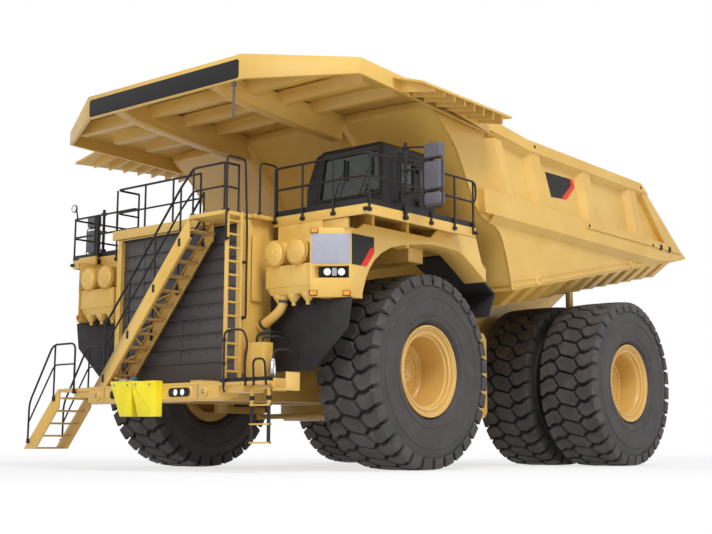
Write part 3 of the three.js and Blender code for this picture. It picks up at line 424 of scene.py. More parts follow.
def post(shape, start, end, radius, sides=16, top=None):
    """Adds a round bar, or a cone where the top radius differs."""
    start, end = Vector(start), Vector(end)
    turn = (end - start).to_track_quat("Z", "Y").to_matrix().to_4x4()
    place = Matrix.Translation((start + end) / 2) @ turn
    bmesh.ops.create_cone(shape, cap_ends=True, segments=sides, radius1=radius,
                          radius2=radius if top is None else top, depth=(end - start).length,
                          matrix=place)


def rounded(points, radius):
    """A path whose inner corners are turned to short arcs."""
    points = [Vector(p) for p in points]
    path = [points[0]]
    for before, corner, after in zip(points, points[1:], points[2:]):
        to_before, to_after = before - corner, after - corner
        reach = min(radius, to_before.length / 2.1, to_after.length / 2.1)
        first = corner + to_before.normalized() * reach
        last = corner + to_after.normalized() * reach
        for step in range(6):
            t = step / 5
            path.append(first * (1 - t) ** 2 + corner * 2 * t * (1 - t) + last * t * t)
    return path + [points[-1]]


def bent_tube(shape, points, radius, bend=0.09, sides=10):
    """Adds a round tube along a path, with its corners bent as a tube bender leaves them."""
    path = rounded(points, bend)
    rings = []
    normal = None
    for i, point in enumerate(path):
        ahead = path[min(i + 1, len(path) - 1)] - path[max(i - 1, 0)]
        ahead.normalize()
        if normal is None:
            normal = ahead.orthogonal().normalized()
        normal = (normal - ahead * normal.dot(ahead)).normalized()
        side = ahead.cross(normal)
        ring = []
        for k in range(sides):
            angle = 2 * math.pi * k / sides
            ring.append(shape.verts.new(point + (normal * math.cos(angle) + side * math.sin(angle)) * radius))
        rings.append(ring)
    for first, second in zip(rings, rings[1:]):
        for k in range(sides):
            j = (k + 1) % sides
            shape.faces.new((first[k], first[j], second[j], second[k]))
    shape.faces.new(rings[0][::-1])
    shape.faces.new(rings[-1])


def lathe(shape, profile, centre, steps, closed=False):
    """Adds a profile of (radius, x) turned about the line through centre along X."""
    rings = []
    for radius, x in profile:
        if radius < 1e-6:
            rings.append([shape.verts.new((centre.x + x, centre.y, centre.z))])
            continue
        ring = []
        for k in range(steps):
            angle = 2 * math.pi * (k + 0.5) / steps
            ring.append(shape.verts.new((centre.x + x, centre.y + radius * math.sin(angle),
                                         centre.z + radius * math.cos(angle))))
        rings.append(ring)
    pairs = list(zip(rings, rings[1:]))
    if closed:
        pairs.append((rings[-1], rings[0]))
    for first, second in pairs:
        for k in range(steps):
            j = (k + 1) % steps
            corners = [first[k % len(first)], first[j % len(first)], second[j % len(second)],
                       second[k % len(second)]]
            distinct = list(dict.fromkeys(corners))
            if len(distinct) > 2:
                shape.faces.new(distinct)


# ---- Repeats: rings and rows ----------------------------------------------------------------

def repeat_tree(name):
    """An empty tree with the inputs that both repeats share, and its group input."""
    tree = bpy.data.node_groups.new(name, "GeometryNodeTree")
    face = tree.interface
    face.new_socket("Geometry", in_out="OUTPUT", socket_type="NodeSocketGeometry")
    face.new_socket("Geometry", in_out="INPUT", socket_type="NodeSocketGeometry")
    face.new_socket("Count", in_out="INPUT", socket_type="NodeSocketInt")
    face.new_socket("Material", in_out="INPUT", socket_type="NodeSocketMaterial")
    face.new_socket("Place", in_out="INPUT", socket_type="NodeSocketVector")
    return tree, add(tree, "NodeGroupInput")


def finish_repeat(tree, given, instances):
    solid = add(tree, "GeometryNodeRealizeInstances", {"Geometry": instances})
    placed = add(tree, "GeometryNodeTransform", {"Geometry": solid.outputs[0],
                                                 "Translation": given.outputs["Place"]})
    painted = add(tree, "GeometryNodeSetMaterial", {"Geometry": placed.outputs[0],
                                                    "Material": given.outputs["Material"]})
    add(tree, "NodeGroupOutput", {"Geometry": painted.outputs[0]})
    return tree


def ring_tree():
    """One shape repeated around the X axis."""
    tree, given = repeat_tree("ring_of_shapes")
    points = add(tree, "GeometryNodeMeshLine", {"Count": given.outputs["Count"], "Offset": (0, 0, 0)})
    index = add(tree, "GeometryNodeInputIndex")
    share = add(tree, "ShaderNodeMath", {0: index.outputs[0], 1: given.outputs["Count"]}, operation="DIVIDE")
    turn = add(tree, "ShaderNodeMath", {0: share.outputs[0], 1: 2 * math.pi}, operation="MULTIPLY")
    angles = add(tree, "ShaderNodeCombineXYZ", {"X": turn.outputs[0]})
    spread = add(tree, "GeometryNodeInstanceOnPoints", {"Points": points.outputs[0],
                                                        "Instance": given.outputs["Geometry"],
                                                        "Rotation": angles.outputs[0]})
    return finish_repeat(tree, given, spread.outputs[0])


def row_tree():
    """One shape repeated at an even step."""
    tree, given = repeat_tree("row_of_shapes")
    tree.interface.new_socket("Step", in_out="INPUT", socket_type="NodeSocketVector")
    points = add(tree, "GeometryNodeMeshLine", {"Count": given.outputs["Count"],
                                                "Offset": given.outputs["Step"]})
    spread = add(tree, "GeometryNodeInstanceOnPoints", {"Points": points.outputs[0],
                                                        "Instance": given.outputs["Geometry"]})
    return finish_repeat(tree, given, spread.outputs[0])


RING = ring_tree()
ROW = row_tree()


def repeated(tree, mesh, values):
    """The mesh that a repeat tree makes from one shape."""
    holder = bpy.data.objects.new("draft", mesh)
    bpy.context.scene.collection.objects.link(holder)
    modifier = holder.modifiers.new("repeat", "NODES")
    modifier.node_group = tree
    sockets = {s.name: s.identifier for s in tree.interface.items_tree if s.in_out == "INPUT"}
    for name, value in values.items():
        modifier[sockets[name]] = value
    return baked(holder)


def joined(meshes):
    """Several meshes, with their own materials, as one."""
    shape = bmesh.new()
    slots = []
    for mesh in meshes:
        offset = len(shape.faces)
        shape.from_mesh(mesh)
        shape.faces.ensure_lookup_table()
        own = list(mesh.materials)
        for face in shape.faces[offset:]:
            paint = own[face.material_index] if own else None
            if paint not in slots:
                slots.append(paint)
            face.material_index = slots.index(paint)
    result = bpy.data.meshes.new("draft")
    shape.to_mesh(result)
    shape.free()
    for paint in slots:
        result.materials.append(paint)
    return result


def painted(mesh, material):
    mesh.materials.clear()
    mesh.materials.append(material)
    return mesh


def hexagon_bolt(radius, height):
    """One bolt head standing along X from x = 0."""
    shape = bmesh.new()
    post(shape, (0, 0, 0), (height, 0, 0), radius, 6)
    post(shape, (-0.001, 0, 0), (height * 0.3, 0, 0), radius * 1.35, 12)
    return settled(shape, 0)


# ---- Tyres -----------------------------------------------------------------------------------

TREAD_COUNT = 32
TREAD_DEPTH = 0.085
TREAD_SLANT = 0.7
TYRE_RADIUS = AXLE_Z
PITCH = 2 * math.pi / TREAD_COUNT


def crown_point(x, share, radius):
    """A point of the tread: across the tyre, along it in shares of a pitch, and up."""
    angle = share * PITCH
    return Vector((x, radius * math.sin(angle), radius * math.cos(angle)))


def tread_block(shape, outline, top, bottom, crown):
    """A tread block from an outline of (x, share), with chamfered top edges."""
    middle_x = sum(x for x, _ in outline) / len(outline)
    middle_s = sum(s for _, s in outline) / len(outline)
    levels = []
    for shrink, radius in ((1.06, bottom), (1.0, top - 0.02), (0.94, top)):
        level = []
        for x, s in outline:
            px = middle_x + (x - middle_x) * shrink
            ps = middle_s + (s - middle_s) * shrink
            level.append(shape.verts.new(crown_point(px, ps, radius - crown(px))))
        levels.append(level)
    for low, high in zip(levels, levels[1:]):
        for i in range(len(outline)):
            j = (i + 1) % len(outline)
            shape.faces.new((low[i], low[j], high[j], high[i]))
    shape.faces.new(levels[-1])
    shape.faces.new(levels[0][::-1])


def tread_pitch(half_width):
    """One pitch of tread: a six-sided middle block and two shoulder lugs between the next ones."""
    shape = bmesh.new()

    def crown(x):
        return 0.022 * (abs(x) / half_width) ** 3

    sweep = 0.05

    def slanted(outline):
        return [(x, s - TREAD_SLANT * min(x, 0.40)) for x, s in outline]

    centre_block = [(-0.30, 0), (-0.17, -0.43), (0.17, -0.43), (0.30, 0), (0.17, 0.43), (-0.17, 0.43)]
    tread_block(shape, slanted(centre_block), TYRE_RADIUS, TYRE_RADIUS - TREAD_DEPTH - 0.03, crown)
    for side in (-1, 1):
        edge = half_width - 0.02
        outline = [*slanted([(0.235, 0.5), (0.345, 0.13), (0.47, 0.10)]), (edge, 0.10 + sweep),
                   (edge, 0.84 + sweep), *slanted([(0.47, 0.87), (0.345, 0.87)])]
        tread_block(shape, [(side * x, s * side) for x, s in outline], TYRE_RADIUS,
                    TYRE_RADIUS - TREAD_DEPTH - 0.03, crown)
        shoulder = [(0.10, 0.155), (0.84, 0.155), (0.84, 0.0), (0.10, 0.0)]
        corners = []
        for s, drop in shoulder:
            radius = TYRE_RADIUS - 0.03 if drop else TYRE_RADIUS - 0.24
            reach = half_width - 0.025 if drop else half_width + 0.005
            corners.append(crown_point(side * reach, (s + sweep) * side, radius))
        inner = [c - Vector((side * 0.09, 0, 0)) for c in corners]
        outer_verts = [shape.verts.new(c) for c in corners]
        inner_verts = [shape.verts.new(c) for c in inner]
        shape.faces.new(outer_verts)
        shape.faces.new(inner_verts[::-1])
        for i in range(4):
            j = (i + 1) % 4
            shape.faces.new((outer_verts[i], inner_verts[i], inner_verts[j], outer_verts[j]))
    return settled(shape, 0)


def carcass(half_width, bead_half):
    """The tyre under its tread: sidewalls with moulded rings, shoulders and the groove floor, which is
    painted darker rubber as painted shade between the tread blocks.
    """
    floor_radius = TYRE_RADIUS - TREAD_DEPTH
    side = [(0.802, bead_half), (0.955, bead_half), (0.965, bead_half + 0.02), (0.985, bead_half + 0.05),
            (1.05, half_width - 0.045), (1.15, half_width - 0.02), (1.158, half_width - 0.008),
            (1.172, half_width - 0.008), (1.18, half_width - 0.018), (1.35, half_width - 0.003),
            (1.50, half_width), (1.515, half_width + 0.014), (1.585, half_width + 0.012),
            (1.60, half_width - 0.006), (1.66, half_width - 0.012), (1.78, half_width - 0.03),
            (1.84, half_width - 0.055), (1.89, half_width - 0.10), (floor_radius - 0.012, half_width - 0.17),
            (floor_radius, half_width - 0.28)]
    outer = side + [(floor_radius, 0)]
    back = [(r, -x) for r, x in reversed(side)]
    inside = [(0.802, -(bead_half - 0.10)), (1.30, -(half_width - 0.12)), (1.84, -(half_width - 0.26)),
              (1.84, half_width - 0.26), (1.30, half_width - 0.12), (0.802, bead_half - 0.10)]
    shape = bmesh.new()
    lathe(shape, outer + back + inside, Vector((0, 0, 0)), 120, closed=True)
    mesh = settled(shape, 0)
    mesh.materials.append(WALL_RUBBER)
    mesh.materials.append(GROOVE_SHADE_RUBBER)
    # Faces at the groove floor take the darker rubber as painted shade.
    for face in mesh.polygons:
        radius = math.hypot(face.center.y, face.center.z)
        face.material_index = 1 if radius > floor_radius - 0.03 else 0
    return mesh


def make_tyre(node, body):
    centre = middle(node)
    low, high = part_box(node)
    half_width = (high.x - low.x) / 2
    tread = repeated(RING, tread_pitch(half_width), {"Count": TREAD_COUNT, "Material": TREAD_RUBBER,
                                                     "Place": (0, 0, 0)})
    mesh = joined([carcass(half_width, 0.56), tread])
    mesh.transform(Matrix.Translation((centre.x, centre.y, AXLE_Z)))
    finish_piece(node + "_tread", mesh, None, body, [node], smooth=28)


for side_name in SIDES:
    make_tyre("front_tyre_" + side_name, "front_wheel_" + side_name)
    for row_name in ("outer", "inner"):
        make_tyre("rear_tyre_" + row_name + "_" + side_name, "rear_wheels_" + side_name)


# ---- Rims and hubs -----------------------------------------------------------------------------

def bolt_ring(count, circle, x, radius, height, material, facing):
    """Bolt heads on a circle, standing out along X."""
    head = hexagon_bolt(radius, height)
    head.transform(Matrix.Translation((0, 0, circle)))
    ring = repeated(RING, head, {"Count": count, "Material": material, "Place": (0, 0, 0)})
    if facing < 0:
        ring.transform(Matrix.Scale(-1, 4, (1, 0, 0)))
        ring.flip_normals()
    ring.transform(Matrix.Translation((x * facing, 0, 0)))
    return ring


def turned_mesh(profile, facing, material, steps=96):
    """A closed profile of (radius, x) turned about X, and mirrored for the right side."""
    shape = bmesh.new()
    lathe(shape, [(r, x * facing) for r, x in profile], Vector((0, 0, 0)), steps)
    return painted(settled(shape, 0), material)


def rim_edge(centre, half):
    """The bright outer ring of a rim: lock ring, flange and bead seat, from its edge inwards."""
    lip = centre + half
    return [(0.755, lip - 0.13), (0.765, lip - 0.075), (0.80, lip - 0.06), (0.822, lip - 0.07),
            (0.835, lip - 0.12), (0.862, lip - 0.125), (0.875, lip - 0.05), (0.905, lip - 0.03),
            (0.915, lip - 0.005), (0.93, lip),
            (0.945, lip - 0.002), (0.95, lip - 0.02), (0.95, lip - 0.079), (0.80, lip - 0.079)]


def make_front_rim(side, facing):
    x = abs(middle("front_tyre_" + side).x)
    low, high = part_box("front_rim_" + side)
    half = 0.64
    inner_end = min(abs(low.x), abs(high.x))
    hub = [(0, x + 0.035), (0.04, x + 0.034), (0.05, x + 0.02), (0.15, x + 0.015), (0.24, x - 0.02),
           (0.30, x - 0.07), (0.33, x - 0.12), (0.64, x - 0.12), (0.67, x - 0.09), (0.69, x + 0.2),
           (0.705, x + 0.40), (0.72, x + 0.485), (0.735, x + 0.50)]
    back = [(0.80, x - half + 0.08), (0.95, x - half + 0.08), (0.95, x - half), (0.74, x - half),
            (0.69, x - 0.25), (0.33, x - 0.25), (0.33, inner_end + 0.0005), (0, inner_end + 0.0005)]
    parts = [turned_mesh(hub + rim_edge(x, half) + back, facing, RIM_GOLD),
             bolt_ring(36, 0.50, x - 0.12, 0.017, 0.045, RIM_GOLD, facing),
             bolt_ring(30, 0.40, x - 0.12, 0.015, 0.03, RIM_GOLD, facing),
             bolt_ring(4, 0.09, x + 0.02, 0.014, 0.02, BOLT_STEEL, facing)]
    mesh = joined(parts)
    mesh.transform(Matrix.Translation((0, AXLE_Y, AXLE_Z)))
    finish_piece("front_wheel_rim_" + side, mesh, None, "front_wheel_" + side,
                 ["front_rim_" + side], smooth=32)


def make_rear_rim(side, facing):
    outer = abs(middle("rear_tyre_outer_" + side).x)
    inner = abs(middle("rear_tyre_inner_" + side).x)
    low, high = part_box("rear_rim_" + side)
    half = 0.64
    inner_end = min(abs(low.x), abs(high.x))
    cover = [(0, outer + 0.055), (0.12, outer + 0.053), (0.14, outer + 0.045), (0.30, outer + 0.04),
             (0.36, outer + 0.015), (0.375, outer + 0.0), (0.56, outer - 0.01), (0.66, outer - 0.012),
             (0.69, outer + 0.01), (0.70, outer + 0.25), (0.71, outer + 0.44), (0.73, outer + 0.49)]
    band = [(0.80, outer - half + 0.08), (0.95, outer - half + 0.08), (0.95, outer - half),
            (0.76, outer - half), (0.76, inner + half), (0.95, inner + half), (0.95, inner + half - 0.08),
            (0.80, inner + half - 0.08), (0.80, inner - half + 0.08), (0.95, inner - half + 0.08),
            (0.95, inner - half), (0.74, inner - half), (0.69, inner + 0.1), (0.40, inner + 0.1),
            (0.40, inner_end + 0.0005), (0, inner_end + 0.0005)]
    parts = [turned_mesh(cover + rim_edge(outer, half) + band, facing, RIM_GOLD),
             bolt_ring(44, 0.60, outer - 0.01, 0.016, 0.04, RIM_GOLD, facing),
             bolt_ring(24, 0.33, outer + 0.025, 0.014, 0.03, RIM_GOLD, facing)]
    mesh = joined(parts)
    mesh.transform(Matrix.Translation((0, REAR_AXLE.y, AXLE_Z)))
    finish_piece("rear_wheel_rim_" + side, mesh, None, "rear_wheels_" + side,
                 ["rear_rim_" + side], smooth=32)


for side_name, side_sign in SIDES.items():
    make_front_rim(side_name, side_sign)
    make_rear_rim(side_name, side_sign)


# ---- Pieces drawn in truck metres -------------------------------------------------------------

TRUCK = Matrix.Translation((0, AXLE_Y, 0))
TREAD_PLATE = machine_paint("stair_tread_enamel", "#cfae74", "#bd9a5e", "#d8c8a4", 0.6, 0.002)
FILTER_BLUE = moulded_plastic("blue_enamel", "#3f6fa6", "#355f92", 0.4)


def truck_piece(name, meshes, body, replaced=(), smooth=35):
    """A finished piece made of painted meshes that are drawn in truck metres."""
    mesh = joined(meshes)
    mesh.transform(TRUCK)
    return finish_piece(name, mesh, None, body, replaced, smooth)


def solid(material, draw, width=0.0, segments=2):
    """A painted mesh from a function that draws shapes, with edges rounded by a width."""
    shape = bmesh.new()
    draw(shape)
    return painted(settled(shape, width, segments), material)


def node_mesh(name, width, segments=2):
    """A node's surface in truck metres, with its flat faces made whole and its edges rounded."""
    shape = bmesh.new()
    shape.from_mesh(frame["nodes"][name].data)
    shape.transform(TRUCK.inverted())
    bmesh.ops.remove_doubles(shape, verts=shape.verts, dist=1e-4)
    bmesh.ops.dissolve_limit(shape, angle_limit=math.radians(1), verts=shape.verts, edges=shape.edges)
    for face in shape.faces:
        face.material_index = 0
    return settled(shape, width, segments)


def paint_faces(mesh, paints, choose):
    """Paints each face with the finish that its middle and normal call for."""
    mesh.materials.clear()
    for paint in paints:
        mesh.materials.append(paint)
    for face in mesh.polygons:
        face.material_index = choose(face.center, face.normal)
    return mesh


def flipped(mesh):
    """The same mesh for the other side of the truck."""
    other = mesh.copy()
    other.transform(Matrix.Scale(-1, 4, (1, 0, 0)))
    other.flip_normals()
    return other


def sided(meshes, sign):
    """Meshes drawn for the left side, mirrored where the sign is negative."""
    return meshes if sign > 0 else [flipped(mesh) for mesh in meshes]


def refine(name, width, material, details=(), paints=None, choose=None, smooth=35):
    """A node's own surface with rounded edges and its details, in place of the node."""
    mesh = node_mesh(name, width)
    if choose:
        paint_faces(mesh, paints, choose)
    else:
        painted(mesh, material)
    body = frame["nodes"][name]["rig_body"]
    truck_piece(name + "_finished", [mesh, *details], body, [name], smooth)


def bridge(shape, first, second):
    """Adds the solid between two outlines that have the same number of corners."""
    ends = [[shape.verts.new(p) for p in outline] for outline in (first, second)]
    shape.faces.new(ends[0][::-1])
    shape.faces.new(ends[1])
    for i in range(len(first)):
        j = (i + 1) % len(first)
        shape.faces.new((ends[0][i], ends[0][j], ends[1][j], ends[1][i]))


def rounded_loop(corners, radius):
    """A closed outline whose corners are turned to short arcs."""
    corners = [Vector(c) for c in corners]
    loop = []
    for i, corner in enumerate(corners):
        loop += rounded([corners[i - 1], corner, corners[(i + 1) % len(corners)]], radius)[1:-1]
    return loop


def row_of(mesh, material, count, step, place=(0, 0, 0)):
    """One shape repeated in a row, from its own place on."""
    return repeated(ROW, mesh, {"Count": count, "Step": step, "Material": material, "Place": place})


def grid_of(mesh, material, counts, steps, place=(0, 0, 0)):
    """One shape repeated in rows and columns."""
    return row_of(row_of(mesh, material, counts[0], steps[0]), material, counts[1], steps[1], place)


def bolt_facing(turn, radius=0.016, height=0.012):
    """A bolt head that stands out along X, turned another way by a rotation in degrees."""
    head = hexagon_bolt(radius, height)
    angle, axis = turn
    head.transform(Matrix.Rotation(math.radians(angle), 4, axis))
    return head


FORWARD = (-90, "Z")
OUTWARD = (0, "Z")


def turned(material, profile, place, turn=OUTWARD, steps=40):
    """A profile of (radius, distance) turned about an axis that starts at a place."""
    shape = bmesh.new()
    lathe(shape, profile, Vector((0, 0, 0)), steps)
    mesh = painted(settled(shape, 0), material)
    mesh.transform(Matrix.Translation(place) @ Matrix.Rotation(math.radians(turn[0]), 4, turn[1]))
    return mesh


def round_lamp(place, turn, radius, lens=None):
    """A round lamp: its black housing and a domed lens."""
    housing = [(0, -0.05), (radius * 0.8, -0.05), (radius * 1.12, -0.02), (radius * 1.12, 0.012),
               (radius, 0.014), (radius, 0.004), (0, 0.004)]
    dome = [(0, 0.024), (radius * 0.5, 0.021), (radius * 0.85, 0.012), (radius * 0.98, 0.005),
            (radius * 0.98, 0.0), (0, 0.0)]
    return [turned(CAB_BLACK, housing, place, turn, 28), turned(lens or LAMP_WHITE, dome, place, turn, 28)]


# ---- Nodes that keep their own shape -----------------------------------------------------------

for side_name in SIDES:
    for stem in ("front_strut_", "knuckle_"):
        refine(stem + side_name, 0.012, BODY_YELLOW)
    refine("hoist_stage_" + side_name, 0.006, HOIST_STEEL)
    refine("hoist_rod_" + side_name, 0.006, HOIST_STEEL)
    refine("side_tank_" + side_name, 0.02, PANEL_YELLOW)
refine("tie_rod", 0.01, BODY_YELLOW)
refine("rear_axle", 0.02, BODY_YELLOW)
refine("deck_support", 0.012, BODY_YELLOW)
refine("body_beams", 0.015, BODY_YELLOW)
refine("body_floor", 0.012, BODY_YELLOW)
refine("body_front_wall", 0.012, BODY_YELLOW)


def frame_bolts():
    """Bolt rows along the outer faces of the frame rails."""
    bolts = row_of(bolt_facing(OUTWARD, 0.022, 0.02), BOLT_STEEL, 9, (0, 0.22, 0), (0.97, -1.6, 2.1))
    return [bolts, flipped(bolts)]


refine("frame", 0.014, BODY_YELLOW, frame_bolts())
refine("engine", 0.02, PANEL_GREY)


# ---- Canopy and its banner ------------------------------------------------------------------------

def canopy_details():
    """The black banner on its raised edge, and the pendant bar."""
    def sheet(inset, thick):
        low_x, low_z, high_x, high_z = -2.35 + inset, 7.605 + inset, 2.35 - inset, 8.02 - inset
        loop = rounded_loop([(low_x, -4.07, low_z), (high_x, -4.07, low_z), (high_x, -4.07, high_z),
                             (low_x, -4.07, high_z)], 0.07)
        return lambda shape: bridge(shape, loop, [p - Vector((0, thick, 0)) for p in loop])

    def pendant(shape):
        block(shape, (2.11, -4.02, 6.86), (2.16, -3.99, 7.62))
        block(shape, (2.09, -4.04, 7.50), (2.18, -3.97, 7.62))

    return [solid(PANEL_YELLOW, sheet(0.0, 0.006), 0.002), solid(PLATE_BLACK, sheet(0.012, 0.012), 0.003),
            solid(MIRROR_GREY, pendant, 0.006)]


refine("canopy", 0.010, BODY_YELLOW, canopy_details())


# ---- Sides of the dump body ---------------------------------------------------------------------

RIB_TOPS = [(2.15, 2.75), (3.75, 4.15), (6.10, 6.45), (8.50, 8.95)]
SIDE_PLANE = 4.08
RIB_FACE = 4.228


def rib_facets(shape):
    """The sloping faces in front of and behind each rib."""
    for top, foot in RIB_TOPS:
        for reach, edge in ((-0.22, -0.17), (0.08, 0.17)):
            levels = []
            for y, z in ((foot, 5.93), (top, 7.28)):
                levels.append([(SIDE_PLANE - 0.01, y + edge + reach, z), (RIB_FACE, y + edge, z),
                               (SIDE_PLANE - 0.01, y + edge, z)])
            bridge(shape, *levels)


def rail_facets(shape):
    """The sloping undersides of the top rail and the middle rail, and the raised strip."""
    top_rail = [(1.9, 7.41), (3.5, 7.26), (9.30, 7.165)]
    for (y0, z0), (y1, z1) in zip(top_rail, top_rail[1:]):
        bridge(shape, [(SIDE_PLANE - 0.01, y0, z0 - 0.13), (4.25, y0, z0), (SIDE_PLANE - 0.01, y0, z0)],
               [(SIDE_PLANE - 0.01, y1, z1 - 0.13), (4.25, y1, z1), (SIDE_PLANE - 0.01, y1, z1)])
    bridge(shape, [(SIDE_PLANE - 0.01, 2.0, 5.36), (4.25, 2.0, 5.55), (SIDE_PLANE - 0.01, 2.0, 5.55)],
           [(SIDE_PLANE - 0.01, 9.9, 5.24), (4.25, 9.9, 5.43), (SIDE_PLANE - 0.01, 9.9, 5.43)])
    strip = [(4.25, 6.0, 5.91), (4.25, 11.1, 5.84), (4.25, 11.2, 5.74), (4.25, 6.0, 5.79)]
    bridge(shape, strip, [(4.29, y, z) for _, y, z in strip])


def lower_flange(shape):
    """The double line of plate edges along the bottom of the side."""
    for lift, out in ((0.0, 0.03), (0.13, 0.018)):
        first = [(SIDE_PLANE - 0.01, 2.95, 4.02 + lift), (SIDE_PLANE + out, 2.95, 4.02 + lift),
                 (SIDE_PLANE + out, 2.95, 4.08 + lift), (SIDE_PLANE - 0.01, 2.95, 4.08 + lift)]
        last = [(x, 11.1, z + 1.565) for x, _, z in first]
        bridge(shape, first, last)


def side_sign():
    """The dark sign panel with its red slash, on the side plate behind the second rib."""
    def shield(out):
        return [(out, 4.42, 6.95), (out, 5.70, 6.97), (out, 5.78, 6.78), (out, 5.38, 6.42), (out, 4.68, 6.38)]

    def slash(out):
        return [(out, 5.58, 6.97), (out, 5.70, 6.97), (out, 5.78, 6.78), (out, 5.38, 6.42), (out, 5.14, 6.41),
                (out, 5.60, 6.80)]

    face = SIDE_PLANE - 0.004
    return [solid(PLATE_BLACK, lambda s: bridge(s, shield(face), shield(face + 0.012))),
            solid(PLATE_RED, lambda s: bridge(s, slash(face), slash(face + 0.016)))]


def side_details():
    """Everything added to the left side of the dump body."""
    boss = [(0, 0.02), (0.045, 0.02), (0.05, 0.05), (0.11, 0.05), (0.135, 0.03), (0.14, -0.01), (0, -0.01)]
    hole_shade_disc = [(0, 0.002), (0.062, 0.002), (0.066, 0.008), (0.078, 0.008), (0.084, 0.0), (0.084, -0.01),
            (0, -0.01)]
    parts = [solid(BODY_YELLOW, rib_facets, 0.006), solid(BODY_YELLOW, rail_facets, 0.005),
             solid(BODY_YELLOW, lower_flange, 0.005)]
    parts += [turned(BODY_YELLOW, boss, (SIDE_PLANE, y, z), steps=24)
              for y, z in ((3.98, 4.28), (8.62, 5.22))]
    # Black discs where the side has holes: painted shade for the dark inside of each hole.
    parts += [turned(PLATE_BLACK, hole_shade_disc, (4.289, y, z), steps=24) for y, z in ((10.0, 5.79), (10.51, 5.787))]
    small = [(r * 0.5, x) for r, x in hole_shade_disc]
    parts += [turned(PLATE_BLACK, small, (x, y, z), steps=16) for x, y, z in ((4.289, 9.53, 5.79),
              (4.289, 6.12, 5.85), (4.255, 3.7, 7.40), (4.255, 9.0, 7.28))]
    return parts + side_sign()


for side_name, side_sign_value in SIDES.items():
    refine("body_side_" + side_name, 0.010, BODY_YELLOW, sided(side_details(), side_sign_value),
           smooth=16)


def hoist_collars():
    """The gland nut and the collar rings of the left hoist's barrel."""
    foot, eye = Vector((1.215, 4.75, 1.90)), Vector((1.215, 5.15, 3.85))
    along = (eye - foot).normalized()

    def rings(shape):
        for start, end, radius in ((0.30, 0.36, 0.205), (1.58, 1.68, 0.21), (1.50, 1.54, 0.20)):
            post(shape, foot + along * start, foot + along * end, radius, 32)
    return [solid(BODY_YELLOW, rings, 0.006)]


for side_name, side_sign_value in SIDES.items():
    refine("hoist_barrel_" + side_name, 0.006, BODY_YELLOW, sided(hoist_collars(), side_sign_value))


# ---- Radiator, its guard and the panels beside it ------------------------------------------------

def radiator_details():
    """Bolt rows and folded lips on the radiator's louvre panels."""
    bolts = grid_of(bolt_facing(FORWARD, 0.014, 0.012), PANEL_GREY, (15, 9), ((0.26, 0, 0), (0, 0, 0.3)),
                    (-1.82, -3.30, 2.36))
    fold = solid(PANEL_GREY, lambda s: block(s, (-1.885, -3.325, 2.15), (1.885, -3.295, 2.18)), 0.006)
    folds = row_of(fold, PANEL_GREY, 9, (0, 0, 0.3))
    strip = solid(PANEL_GREY, lambda s: block(s, (-0.02, -3.312, 2.15), (0.02, -3.295, 4.80)), 0.004)
    strips = row_of(strip, PANEL_GREY, 3, (1.26, 0, 0), (-1.26, 0, 0))
    return [bolts, folds, strips]


def guard_details():
    """Flanges, bolts and the flat bar on the outside of the radiator's guard."""
    def flanges(shape):
        block(shape, (2.10, -3.40, 3.30), (2.125, -3.12, 4.60))
        block(shape, (2.068, -3.28, 3.40), (2.105, -3.24, 4.50))
        block(shape, (1.94, -3.665, 1.95), (2.08, -3.645, 4.86))
        block(shape, (-2.08, -3.375, 1.95), (-1.94, -3.355, 4.86))

    bolts = row_of(bolt_facing(FORWARD, 0.014, 0.012), PANEL_YELLOW, 11, (0, 0, 0.26), (2.01, -3.664, 2.1))
    others = row_of(bolt_facing(FORWARD, 0.014, 0.012), PANEL_YELLOW, 11, (0, 0, 0.26), (-2.01, -3.374, 2.1))
    return [solid(PANEL_YELLOW, flanges, 0.006), bolts, others]


refine("radiator", 0.006, PANEL_GREY, radiator_details())
# The guard's top beam under the centre deck's edge is painted dark grey: painted shadow cast by the deck.
refine("radiator_guard", 0.012, PANEL_YELLOW, guard_details(), [PANEL_YELLOW, PANEL_GREY],
       lambda centre, normal: 1 if centre.z > 4.89 and abs(centre.x) < 1.96 else 0)


def panel_details():
    """Bolts of the rubber panel in front of the left tyre."""
    bolts = row_of(bolt_facing(FORWARD, 0.018, 0.014), GUARD_RUBBER, 7, (0.2, 0, 0), (2.25, -2.82, 3.20))
    return [bolts]


for side_name, side_sign_value in SIDES.items():
    refine("wheel_panel_" + side_name, 0.010, GUARD_RUBBER, sided(panel_details(), side_sign_value))


# ---- Decks ---------------------------------------------------------------------------------------

def kick_strips(front, floor):
    """Black kick strips along a side deck's edges, with the clamps that hold the rail posts."""
    def strips(shape):
        block(shape, (2.21, front - 0.004, floor - 0.01), (4.63, front + 0.008, floor + 0.10))
        block(shape, (4.622, front, floor - 0.01), (4.634, 0.67, floor + 0.10))

    def clamps(shape):
        for x in (2.26, 3.0, 3.8, 4.62):
            block(shape, (x - 0.05, front - 0.05, floor - 0.155), (x + 0.05, front + 0.003, floor - 0.085))
        for y in (front + 0.05, -0.9, -0.1, 0.65):
            block(shape, (4.628, y - 0.05, floor - 0.155), (4.68, y + 0.05, floor - 0.085))

    return [solid(CAB_BLACK, strips, 0.003), solid(CAB_BLACK, clamps, 0.008)]


def grip_strips(low, high, floor):
    """Raised grip bars across a walking surface."""
    bar = solid(PANEL_GREY, lambda s: block(s, (low[0], low[1], floor - 0.004),
                                            (high[0], low[1] + 0.03, floor + 0.006)), 0.002)
    return row_of(bar, PANEL_GREY, int((high[1] - low[1]) / 0.16), (0, 0.16, 0))


